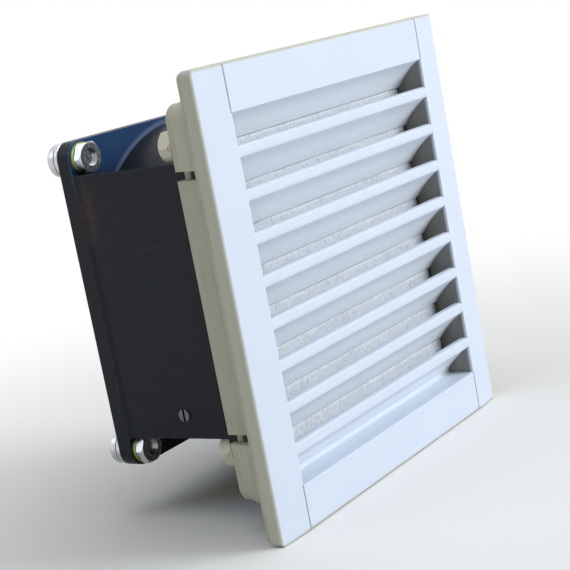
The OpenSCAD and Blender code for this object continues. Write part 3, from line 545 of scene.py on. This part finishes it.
def turned_metal(shade, tone):
    """Machined metal: turning rings about the fan's axis, and a little oil stain."""
    x, y, z = shade.axes()
    radius = (x * x + z * z) ** 0.5
    rings = (radius * (math.tau / (0.18 * MM)) + y * (math.tau / (0.25 * MM))).sine() * 0.5 + 0.5
    stain = shade.step(shade.noise(3 * MM, detail=4.0), 0.5, 0.75)
    base = shade.blend(rings * 0.4, tone, tuple(v * 0.8 for v in tone))
    base = shade.blend(stain * 0.3, base, tuple(v * 0.5 for v in tone))
    return {
        "Base Color": base,
        "Metallic": 1.0,
        "Roughness": 0.26 + 0.10 * rings + 0.2 * stain,
        "Normal": shade.relief(rings, 0.004 * MM, shade.soft_edges(0.12 * MM)),
    }


def laminated_steel(shade, tone):
    """Stacked motor laminations: thin lines across the axis, with specks of varnish and rust."""
    _, y, _ = shade.axes()
    lines = (y * (math.tau / (0.5 * MM))).sine() * 0.5 + 0.5
    rust = shade.step(shade.noise(1.5 * MM, detail=5.0), 0.55, 0.75)
    base = shade.blend(shade.step(lines, 0.1, 0.4), tuple(v * 0.4 for v in tone), tone)
    base = shade.blend(rust * 0.4, base, (0.22, 0.10, 0.05))
    return {
        "Base Color": base,
        "Metallic": 0.7 - 0.4 * rust,
        "Roughness": 0.42 + 0.2 * rust,
        "Normal": shade.relief(lines, 0.03 * MM),
    }


def enamelled_wire(shade, tone):
    """Enamelled copper winding: turns of wire side by side, with darker gaps."""
    x, _, z = shade.axes()
    turns = (x.absolute().most(z.absolute()) * (math.tau / (0.32 * MM))).sine() * 0.5 + 0.5
    patch = shade.noise(2 * MM, detail=3.0)
    base = shade.blend(shade.step(turns, 0.05, 0.5), tuple(v * 0.25 for v in tone), tone)
    base = shade.blend(patch * 0.4, base, (tone[0] * 0.8, tone[1] * 0.6, tone[2] * 0.5))
    return {
        "Base Color": base,
        "Metallic": 0.8,
        "Roughness": 0.28 + 0.1 * patch,
        "Normal": shade.relief(turns, 0.08 * MM),
    }


def printed_foil(shade, tone):
    """A blank foil plate: brushed one way, with a thin raised border."""
    x, _, z = shade.axes()
    radius = (x * x + z * z) ** 0.5
    brushed = shade.noise(0.14 * MM, detail=2.0, stretch=(0.04, 1, 1))
    inner, outer = PLATE_LINE
    border = shade.step(radius, inner, inner + 0.2 * MM)
    border = border * shade.step(radius, outer - 0.2 * MM, outer, 1.0, 0.0)
    base = shade.blend(brushed, tone, tuple(v * 0.72 for v in tone))
    base = shade.blend(border * 0.7, base, (0.05, 0.05, 0.06))
    return {
        "Base Color": base,
        "Metallic": 0.9 - 0.7 * border,
        "Roughness": 0.30 + 0.16 * brushed,
        "Normal": shade.relief(brushed * 0.4 + border * 0.6, 0.01 * MM),
    }


def lead_skin(shade, tone):
    """Soft lead insulation: a dull skin with a faint lengthwise crease."""
    crease = shade.noise(0.5 * MM, detail=2.0, stretch=(0.3, 0.3, 1))
    return {
        "Base Color": shade.blend(crease, tone, tuple(v * 0.7 for v in tone)),
        "Roughness": 0.45 + 0.15 * crease,
        "Normal": shade.relief(crease, 0.01 * MM),
    }


# Surfaces


def grid_faces(rows, columns, close_columns=False):
    """Quads between neighbouring points of a rows x columns grid. Its last column can join its first."""
    index = np.arange(rows * columns).reshape(rows, columns)
    if close_columns:
        index = np.hstack([index, index[:, :1]])
    quads = (index[:-1, :-1], index[:-1, 1:], index[1:, 1:], index[1:, :-1])
    return np.stack([q.ravel() for q in quads], axis=1)


def repeated(faces, count, points):
    """The faces of one shape again for each of count shapes that follow each other with so many points."""
    every = faces[None] + (np.arange(count) * points)[:, None, None]
    return every.reshape(-1, faces.shape[1])


def piece(name, points, faces, finish, body, slot=None, stands_for=()):
    """A closed mesh from points (any shape, 3 last) and quads. Doubles are merged and faces turned out."""
    mesh = bpy.data.meshes.new(name)
    mesh.from_pydata(np.asarray(points, float).reshape(-1, 3).tolist(), [], np.asarray(faces).tolist())
    work = bmesh.new()
    work.from_mesh(mesh)
    bmesh.ops.remove_doubles(work, verts=work.verts, dist=1e-6)
    bmesh.ops.recalc_face_normals(work, faces=work.faces)
    work.to_mesh(mesh)
    work.free()
    mesh.materials.append(finish)
    mesh.polygons.foreach_set("use_smooth", np.ones(len(mesh.polygons), bool))
    made = bpy.data.objects.new(name, mesh)
    bpy.context.scene.collection.objects.link(made)
    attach(made, body)
    if stands_for:
        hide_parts(*stands_for)
    return made


def crease(made, degrees=35):
    """Keeps edges sharper than an angle sharp."""
    made.data.set_sharp_from_angle(angle=math.radians(degrees))


def ripples(x, z, seed, wavelengths):
    """Lumps from about -1 to 1 in x and z: the sum of sin(tau (x cos a + z sin a) / length + phase) over
    waves of random direction a, length and phase."""
    draw = np.random.default_rng(seed)
    count = 24
    turn = draw.uniform(0, math.tau, count)
    length = draw.uniform(*wavelengths, count)
    phase = draw.uniform(0, math.tau, count)
    waves = np.sin(
        math.tau * (x[..., None] * np.cos(turn) + z[..., None] * np.sin(turn)) / length + phase
    )
    return waves.sum(axis=-1) / math.sqrt(count) / 1.6


def revolved(name, profile, turns, finish, body, **kept):
    """A profile of (radius, y) carried round the fan's axis: x = r cos a, z = r sin a."""
    outline = np.array(profile, float)
    angle = np.linspace(0, math.tau, turns, endpoint=False)
    points = np.stack(
        [
            outline[:, None, 0] * np.cos(angle),
            np.broadcast_to(outline[:, None, 1], (len(outline), turns)),
            outline[:, None, 0] * np.sin(angle),
        ],
        axis=-1,
    )
    return piece(name, points, grid_faces(len(outline), turns, close_columns=True), finish, body, **kept)


def tubes(paths, radius):
    """Tubes with four sides along many paths at once (path, point, 3): the point p + r (a cos t + b sin t)
    goes round each point p of a path, and a and b are square to the path and to each other."""
    along = np.gradient(paths, axis=1)
    along /= np.linalg.norm(along, axis=-1, keepdims=True)
    first = np.cross(along, np.array([0.0, 1.0, 0.0]))
    first /= np.linalg.norm(first, axis=-1, keepdims=True)
    second = np.cross(along, first)
    sides = 4
    angle = np.linspace(0, math.tau, sides, endpoint=False)
    ring = first[:, :, None] * np.cos(angle)[:, None] + second[:, :, None] * np.sin(angle)[:, None]
    points = paths[:, :, None] + np.asarray(radius)[..., None, None] * ring
    count, length = paths.shape[:2]
    ends = np.array([np.arange(sides)[::-1], np.arange(sides) + (length - 1) * sides])
    one = np.vstack([grid_faces(length, sides, close_columns=True), ends])
    return points, repeated(one, count, length * sides)


def dress(finish, *names):
    """Gives CAD nodes a finish."""
    for name in names:
        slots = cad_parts[name].data.materials
        slots.clear()
        slots.append(finish)


# Pieces


class FILTERFAN_OT_cover(bpy.types.Operator):
    """Finish the louvred cover, the base and the panel gasket, and add the fillet under the last louvre"""

    bl_idname = "filterfan.cover"
    bl_label = "Cover and base"

    def execute(self, context):
        looks = context.scene.filterfan_cover

        def marks(shade, base):
            return cover_marks(shade, base, tuple(looks.base), tuple(looks.shadow), tuple(looks.clean))

        marked = {"tone": tuple(looks.shell), "tint": marks}
        shell = material("cover_plastic", fine_plastic, grain=looks.grain, **marked)
        dress(shell, "grille_cover")
        self.sill(shell)
        # The base's colour is painted shade; its smudges and dust are dirt
        painted_shade_and_smudges = {"tone": tuple(looks.base), "tint": side_smudges, "dust": (0.34, 0.30, 0.20), "smudge": 0.6}
        dress(material("base_plastic", fine_plastic, grain=looks.grain, **painted_shade_and_smudges), "base_frame")
        dress(material("gasket_foam", foam, tone=(0.045, 0.045, 0.048)), "panel_gasket")
        return {"FINISHED"}

    def sill(self, finish):
        """The fillet between the last louvre and the opening's lower wall. Its section in y and z is the
        curve (1 - t)^2 start + 2 t (1 - t) corner + t^2 end, closed inside the plastic and carried along x.
        The points are measured from the lower wall's rear edge."""
        rear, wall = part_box("grille_cover")[1][1], -OPENING / 2
        start, corner, end = np.array([[-0.99, 1.61], [0.353, 0.0], [-1.745, 0.0]]) * MM
        t = np.linspace(0, 1, 17)[:, None]
        curve = (1 - t) ** 2 * start + 2 * t * (1 - t) * corner + t**2 * end
        behind = np.array([[-1.745, -0.08], [-0.05, -0.10], [-0.05, 0.50], [-0.93, 1.66]]) * MM
        section = np.vstack([curve, behind]) + [rear, wall]
        middle = np.broadcast_to(np.array([-0.08, 0.20]) * MM + [rear, wall], section.shape)
        reach = OPENING / 2 + 0.1 * MM
        x = np.array([-reach, -reach, reach, reach])[:, None] + np.zeros(len(section))
        ring = np.stack([middle, section, section, middle])
        points = np.stack([x, ring[..., 0], ring[..., 1]], axis=-1)
        faces = grid_faces(4, len(section), close_columns=True)
        crease(piece("cover_sill_fillet", points, faces, finish, "cover", slot="cover_plastic"))


def mat_sheet(u, v, face, low, high, looks):
    """One face of the mat, -1 for the front: u and v from -1 to 1 spread over a square with its corners drawn
    in, and y is the face's height times ((1 - u^n) (1 - v^n))^0.5 with n = MAT_EDGE, less the lumps. The
    front swells out to the louvres."""
    swollen = looks.swell if face < 0 else 0
    half = (high - low) / 2
    middle = (high + low) / 2
    pull = 1 - MAT_CORNER * np.abs(u * v) ** 12
    x = middle[0] + half[0] * u * pull
    z = middle[2] + half[2] * v * pull
    swell = ((1 - np.abs(u) ** MAT_EDGE) * (1 - np.abs(v) ** MAT_EDGE)) ** 0.5
    height = ripples(x, z, 3 if face < 0 else 4, LARGE_LUMPS) * 0.65
    height = height + ripples(x, z, 5 if face < 0 else 6, SMALL_LUMPS) * 0.35
    y = middle[1] + face * swell * (half[1] + swollen - looks.lump * (1 - np.clip(height, -1, 1)) / 2)
    return np.stack([x, y, z], axis=-1)


class FILTERFAN_OT_mat(bpy.types.Operator):
    """Make the fleece filter mat and the loose fibres on its faces"""

    bl_idname = "filterfan.mat"
    bl_label = "Filter mat"

    def execute(self, context):
        looks = context.scene.filterfan_mat
        low, high = (np.array(c, float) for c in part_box("filter_mat"))
        even = np.linspace(-1, 1, MAT_POINTS)
        edge = np.sin(even * (math.pi / 2)) * 0.25 + even * 0.75
        u, v = np.meshgrid(edge, edge, indexing="ij")
        front = mat_sheet(u, v, -1, low, high, looks)
        rear = mat_sheet(u, v, 1, low, high, looks)
        sheet = grid_faces(MAT_POINTS, MAT_POINTS)
        faces = np.vstack([sheet, sheet[:, ::-1] + MAT_POINTS**2])
        made = piece(
            "filter_fleece",
            np.stack([front, rear]),
            faces,
            material("filter_fleece", fleece, tone=tuple(looks.fleece)),
            "mat",
            slot="filter_fleece",
            stands_for=("filter_mat",),
        )
        self.strands(looks, low, high)
        return {"FINISHED"}

    def strands(self, looks, low, high):
        """Fibres on both faces: each is a bent line of random place, direction and bend that rises and
        dips through the fleece as a sine."""
        draw = np.random.default_rng(11)
        count, length = looks.strands * 2, STRAND_POINTS
        face = np.where(np.arange(count) % 2 == 0, -1.0, 1.0)
        reach = draw.uniform(*STRAND_REACH, count)
        turn = draw.normal(0, 0.9, count) + draw.uniform(-0.5, 0.5, count)
        bend = draw.normal(0, 1.1, count)
        phase = draw.uniform(0, math.tau, count)
        along = np.linspace(-0.5, 0.5, length)
        heading = turn[:, None] + bend[:, None] * along
        step = reach[:, None] * (along[1] - along[0])
        x = np.cumsum(np.cos(heading) * step, axis=1)
        z = np.cumsum(np.sin(heading) * step, axis=1)
        spread = (high - low) / 2 * STRAND_AREA
        x += draw.uniform(-spread[0], spread[0], count)[:, None] - x.mean(axis=1, keepdims=True)
        z += draw.uniform(-spread[2], spread[2], count)[:, None] - z.mean(axis=1, keepdims=True)
        u = x / ((high[0] - low[0]) / 2)
        v = z / ((high[2] - low[2]) / 2)
        front = mat_sheet(u, v, -1, low, high, looks)[..., 1]
        rear = mat_sheet(u, v, 1, low, high, looks)[..., 1]
        ground = np.where(face[:, None] < 0, front, rear)
        lift = looks.strand * (0.15 + 0.75 * np.sin(along * 5 + phase[:, None]))
        y = np.clip(ground + face[:, None] * lift, low[1] - looks.swell - 0.1 * MM, high[1] + 0.1 * MM)
        paths = np.stack([x, y, z], axis=-1)
        thin = looks.strand / 2 * np.sin(np.linspace(0.15, 1, length) * math.pi * 0.93) ** 0.4
        points, faces = tubes(paths, np.broadcast_to(thin, (count, length)))
        made = piece(
            "mat_fibres",
            points,
            faces,
            material("filter_strands", strand_finish, tone=tuple(looks.fleece)),
            "mat",
            slot="filter_fleece",
        )


class FILTERFAN_OT_housing(bpy.types.Operator):
    """Finish the cast fan frame, its earth screw and the blank plate at the rear"""

    bl_idname = "filterfan.housing"
    bl_label = "Fan frame"

    def execute(self, context):
        looks = context.scene.filterfan_fan
        metal = context.scene.filterfan_metal
        black = tuple(looks.frame_black)

        # Paints the reflection and the highlight on the rear flange
        def painted_reflection_tint(shade, base):
            return flange_painted_reflection(shade, base, tuple(looks.painted_reflection))

        plain = material("housing_black", black_casting, tone=black)
        dress(plain, "front_flange", "fan_duct", "motor_carrier")
        dress(material("wall_black", black_casting, tone=black, tint=wall_tint), "side_walls")
        dress(material("flange_black", black_casting, tone=black, tint=painted_reflection_tint), "rear_flange")
        dark = {"tone": tuple(metal.oxide), "stain": (0.03, 0.03, 0.03)}
        dress(material("earth_steel", plated_steel, **dark), "earth_screw")
        dress(material("plate_foil", printed_foil, tone=(0.62, 0.63, 0.64)), "rating_plate")
        return {"FINISHED"}


class FILTERFAN_OT_impeller(bpy.types.Operator):
    """Make the impeller: a cupped hub and twisted aerofoil blades"""

    bl_idname = "filterfan.impeller"
    bl_label = "Impeller"

    def execute(self, context):
        looks = context.scene.filterfan_fan
        finish = material("blade_black", glossy_plastic, tone=tuple(looks.blade_black), rough=0.34)
        low, high = (np.array(c, float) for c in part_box("impeller"))
        cup = np.array(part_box("rotor_cup")[1], float)
        hub = self.hub(low[1], high[1], cup[0] + HUB_WALL, cup[0], finish)
        blades = self.blades(looks, low[1], high[1], cup[0] + HUB_WALL / 2, finish)
        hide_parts("impeller")
        crease(hub)
        crease(blades, 50)
        return {"FINISHED"}

    def hub(self, front, rear, outer, inner, finish):
        """The hub is a cup: a profile with a rounded shoulder, r (sin t, -cos t), and a dished face, carried
        round the axis."""
        r, dish = 1.5 * MM, 0.4 * MM
        quarter = np.linspace(0, math.pi / 2, 8)
        shoulder = [(outer - r + r * math.sin(t), front + r - r * math.cos(t)) for t in quarter]
        face = [(0, front + dish), (inner * HUB_DISH[0], front + dish), (inner * HUB_DISH[1], front)]
        inside = [(outer, rear), (inner, rear), (inner, front + HUB_WALL), (0, front + HUB_WALL)]
        profile = face + shoulder + inside
        return revolved("impeller_hub", profile, HUB_TURNS, finish, "rotor", slot="blade_black")

    def blades(self, looks, front, rear, root, finish):
        """Each blade: the span s goes from the hub to the tip and t from the front to the rear edge. The
        angle is turn * t - lean * s^2, and the thickness goes as t^0.45 (1 - t)^0.55, a round-nosed aerofoil.
        At both ends of the span one more row without thickness closes the blade."""
        tip = DUCT_RADIUS - looks.tip_gap
        spans, around_points = 25, 66
        s = np.concatenate([[0], np.linspace(0, 1, spans), [1]])[:, None]
        full = np.concatenate([[0], np.ones(spans), [0]])[:, None]
        around = np.linspace(0, math.tau, around_points, endpoint=False)[None, :]
        t = (1 - np.cos(around)) / 2
        side = np.sign(np.round(np.sin(around), 9))
        thick = looks.blade_t * (t + 1e-6) ** 0.45 * (1 - t + 1e-6) ** 0.55 * full
        radius = root + (tip - root) * s + 0 * t
        trim = BLADE_TRIM * s**3
        y = front + BLADE_EDGE + trim * (1 - t) + (rear - front - 2 * BLADE_EDGE) * t - trim * t
        angle = BLADE_TURN * t - BLADE_LEAN * s**2 + side * thick / radius
        tilt = y + side * thick * 0.25
        turns = np.arange(looks.blades)[:, None, None] * (-math.tau / looks.blades)
        phi = angle[None] + turns
        points = np.stack(
            [
                radius[None] * np.cos(phi),
                np.broadcast_to(tilt[None], phi.shape),
                radius[None] * np.sin(phi),
            ],
            axis=-1,
        )
        one = grid_faces(len(s), around_points, close_columns=True)
        faces = repeated(one, looks.blades, len(s) * around_points)
        return piece("impeller_blades", points, faces, finish, "rotor", slot="blade_black")


class FILTERFAN_OT_motor(bpy.types.Operator):
    """Finish the motor: stator, windings, bearings, tube, rotor and shaft"""

    bl_idname = "filterfan.motor"
    bl_label = "Motor"

    def execute(self, context):
        metal = context.scene.filterfan_metal
        steel = material("bearing_steel", turned_metal, tone=tuple(metal.steel))
        dress(steel, "front_bearing", "rear_bearing", "rotor_shaft")
        dress(material("tube_brass", turned_metal, tone=(0.66, 0.46, 0.17)), "bearing_tube")
        dress(material("stator_steel", laminated_steel, tone=(0.16, 0.17, 0.19)), "stator_core")
        dress(material("former_nylon", nylon, tone=(0.78, 0.76, 0.68)), "coil_formers")
        dress(material("copper_winding", enamelled_wire, tone=(0.62, 0.24, 0.09)), "stator_coils")
        dress(material("rotor_alloy", turned_metal, tone=(0.45, 0.46, 0.48)), "rotor_ring")
        dress(material("rotor_black", black_casting, tone=(0.014, 0.014, 0.016)), "rotor_cup")
        small = material("washer_steel", plated_steel, tone=tuple(metal.steel))
        dress(small, "preload_washer", "retaining_clip")
        dress(material("fibre_washer", glossy_plastic, tone=(0.30, 0.15, 0.07)), "thrust_washer")
        return {"FINISHED"}


class FILTERFAN_OT_terminals(bpy.types.Operator):
    """Finish the terminal block, its tabs and the leads"""

    bl_idname = "filterfan.terminals"
    bl_label = "Terminals"

    def execute(self, context):
        dress(material("block_black", glossy_plastic, tone=(0.016, 0.016, 0.018)), "side_terminal_block")
        tinned = material("tinned_tab", plated_steel, tone=(0.66, 0.65, 0.60), rough=0.28)
        dress(tinned, "terminal_tabs")
        dress(material("lead_insulation", lead_skin, tone=(0.16, 0.03, 0.02)), "lead_wires")
        return {"FINISHED"}


class FILTERFAN_OT_guard(bpy.types.Operator):
    """Finish the wire guard and add the weld beads where its wires cross"""

    bl_idname = "filterfan.guard"
    bl_label = "Finger guard"

    def execute(self, context):
        metal = context.scene.filterfan_metal
        wire = material("guard_wire", plated_steel, tone=tuple(metal.steel), rough=0.12)
        dress(wire, "finger_guard")
        self.beads(metal.bead, wire)
        return {"FINISHED"}

    def beads(self, radius, finish):
        """Beads where legs cross rings: small spheres r (cos a cos b, sin a cos b, sin b), drawn out along
        the leg and pressed flat."""
        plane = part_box("finger_guard")[1][1] - GUARD_WIRE * 0.97
        rings = np.array(GUARD_RINGS)
        a = np.linspace(0, math.tau, WELD_TURNS, endpoint=False)[None, :]
        b = np.linspace(-math.pi / 2, math.pi / 2, WELD_ROWS)[:, None]
        along = WELD_LONG * radius * np.cos(b) * np.cos(a)
        across = radius * np.cos(b) * np.sin(a)
        depth = WELD_FLAT * radius * np.sin(b) + 0 * a
        turn = ((np.arange(GUARD_LEGS) + 0.5) * math.tau / GUARD_LEGS)[:, None, None, None]
        r = rings[None, :, None, None] + along[None, None]
        x = r * np.cos(turn) - across * np.sin(turn)
        z = r * np.sin(turn) + across * np.cos(turn)
        points = np.stack([x, np.broadcast_to(plane + depth, x.shape), z], axis=-1)
        one = grid_faces(WELD_ROWS, WELD_TURNS, close_columns=True)
        faces = repeated(one, GUARD_LEGS * len(rings), WELD_ROWS * WELD_TURNS)
        piece("guard_welds", points, faces, finish, "base", slot="guard_wire")


class FILTERFAN_OT_fixings(bpy.types.Operator):
    """Finish the screws, nuts and washers"""

    bl_idname = "filterfan.fixings"
    bl_label = "Fixings"

    def execute(self, context):
        metal = context.scene.filterfan_metal
        cream = material("nylon_fixings", nylon, tone=tuple(metal.nylon))
        dress(cream, "fan_screws", "fan_washers", "fan_nuts")
        dress(material("bright_steel", plated_steel, tone=tuple(metal.steel)), "guard_screws", "guard_nuts")
        dress(material("yellow_zinc", yellow_zinc, tone=tuple(metal.zinc)), "guard_washers")
        return {"FINISHED"}


class FILTERFAN_OT_stage(bpy.types.Operator):
    """Set up the floor, the lights and the camera"""

    bl_idname = "filterfan.stage"
    bl_label = "Stage"

    def execute(self, context):
        looks = context.scene.filterfan_stage
        self.floor(looks)
        for name, setting, place, size, tone in LAMPS:
            self.light(name, place, size, getattr(looks, setting), tone)
        self.world(looks)
        self.camera()
        context.scene.view_settings.view_transform = "Standard"
        return {"FINISHED"}

    def floor(self, looks):
        """A large flat floor under the lowest point: a grid of x and y at z = low."""
        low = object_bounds()[0][2]
        side = np.linspace(-FLOOR_REACH, FLOOR_REACH, 3)
        x, y = np.meshgrid(side, side, indexing="ij")
        mesh = bpy.data.meshes.new("floor")
        points = np.stack([x, y, np.full_like(x, low)], axis=-1)
        mesh.from_pydata(points.reshape(-1, 3).tolist(), [], grid_faces(3, 3)[:, ::-1].tolist())
        ground = bpy.data.objects.new("floor", mesh)
        bpy.context.scene.collection.objects.link(ground)
        ground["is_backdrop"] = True
        mesh.materials.append(self.floor_finish(tuple(looks.floor)))

    def floor_finish(self, tone):
        """Pale floor near the object, which turns into plain white for the camera further off."""
        made = bpy.data.materials.new("floor")
        made.use_nodes = True
        shade = Shade(made.node_tree)
        x, y, _ = shade.axes()
        far = shade.step((x * x + y * y) ** 0.5, FLOOR_NEAR, FLOOR_FAR)
        mottle = shade.noise(0.05, detail=3.0)
        mottled = shade.blend(mottle * 0.3, tone, tuple(v * 0.96 for v in tone))
        plain = shade.node("BsdfDiffuse", None, {"Color": mottled}, out="BSDF")
        white = shade.node("Emission", None, {"Color": WHITE, "Strength": 1.0}, out="Emission")
        link_output(shade, shade.node("MixShader", None, {0: sight(shade) * far, 1: plain, 2: white}))
        return made

    def light(self, name, place, size, power, tone):
        """A lamp of a width and height at a place, turned towards the object."""
        lamp = bpy.data.lights.new(name, "AREA")
        lamp.shape = "RECTANGLE"
        lamp.size, lamp.size_y = size
        lamp.energy = power
        lamp.color = tone
        held = bpy.data.objects.new(name, lamp)
        bpy.context.scene.collection.objects.link(held)
        held.location = place
        aim = Vector((0, 0.02, 0)) - held.location
        held.rotation_euler = aim.to_track_quat("-Z", "Y").to_euler()

    def world(self, looks):
        """White where the camera or a mirror looks, and a plain, faintly warm light elsewhere."""
        world = bpy.data.worlds.new("studio")
        bpy.context.scene.world = world
        world.use_nodes = True
        shade = Shade(world.node_tree)
        tone = shade.blend(sight(shade), WARM, WHITE)
        strength = looks.ambient + (1.0 - looks.ambient) * sight(shade)
        lit = shade.node("Background", None, {"Color": tone, "Strength": strength}, out="Background")
        end = shade.tree.nodes.new("ShaderNodeOutputWorld")
        shade.put(end.inputs["Surface"], lit)

    def camera(self):
        """The photograph's viewpoint: a long lens from the front left, rolled a little."""
        lens = bpy.data.cameras.new("camera")
        lens.lens = LENS
        lens.sensor_width = SENSOR
        lens.clip_start = 0.01
        made = bpy.data.objects.new("camera", lens)
        bpy.context.scene.collection.objects.link(made)
        axes = zip(CAMERA_RIGHT, CAMERA_DOWN, CAMERA_AHEAD, CAMERA_PLACE)
        rows = [(right, -down, -ahead, place) for right, down, ahead, place in axes]
        made.matrix_world = Matrix(rows + [(0, 0, 0, 1)])
        bpy.context.scene.camera = made


def sight(shade):
    """1 for rays from the camera and for what a mirror or glass shows, otherwise 0."""
    seen = 0
    for kind in ("Is Camera Ray", "Is Glossy Ray", "Is Transmission Ray"):
        seen = shade.node("LightPath", out=kind) + seen
    return seen.least(1.0)


GROUPS = {
    "filterfan_cover": CoverLooks,
    "filterfan_mat": MatLooks,
    "filterfan_fan": FanLooks,
    "filterfan_metal": MetalLooks,
    "filterfan_stage": StageLooks,
}
OPERATORS = (
    FILTERFAN_OT_cover,
    FILTERFAN_OT_mat,
    FILTERFAN_OT_housing,
    FILTERFAN_OT_impeller,
    FILTERFAN_OT_motor,
    FILTERFAN_OT_terminals,
    FILTERFAN_OT_guard,
    FILTERFAN_OT_fixings,
    FILTERFAN_OT_stage,
)


class FILTERFAN_PT_panel(bpy.types.Panel):
    """Lists the filter fan's sizes, colours and steps"""

    bl_idname = "FILTERFAN_PT_panel"
    bl_label = "Filter fan"
    bl_space_type = "VIEW_3D"
    bl_region_type = "UI"
    bl_category = "Filter fan"

    def draw(self, context):
        for name in GROUPS:
            looks = getattr(context.scene, name)
            column = self.layout.column(align=True)
            for key in looks.bl_rna.properties.keys():
                if key not in ("rna_type", "name"):
                    column.prop(looks, key)
        for operator in OPERATORS:
            self.layout.operator(operator.bl_idname)


def register():
    """Adds the classes and the scene's settings."""
    for group in GROUPS.values():
        bpy.utils.register_class(group)
    for name, group in GROUPS.items():
        setattr(bpy.types.Scene, name, PointerProperty(type=group))
    for operator in OPERATORS:
        bpy.utils.register_class(operator)
    bpy.utils.register_class(FILTERFAN_PT_panel)


def unregister():
    """Takes them away again."""
    bpy.utils.unregister_class(FILTERFAN_PT_panel)
    for operator in reversed(OPERATORS):
        bpy.utils.unregister_class(operator)
    for name, group in GROUPS.items():
        delattr(bpy.types.Scene, name)
        bpy.utils.unregister_class(group)


def main():
    """Runs every step in order."""
    register()
    bpy.ops.filterfan.cover()
    bpy.ops.filterfan.mat()
    bpy.ops.filterfan.housing()
    bpy.ops.filterfan.impeller()
    bpy.ops.filterfan.motor()
    bpy.ops.filterfan.terminals()
    bpy.ops.filterfan.guard()
    bpy.ops.filterfan.fixings()
    bpy.ops.filterfan.stage()


if __name__ == "__main__":
    main()
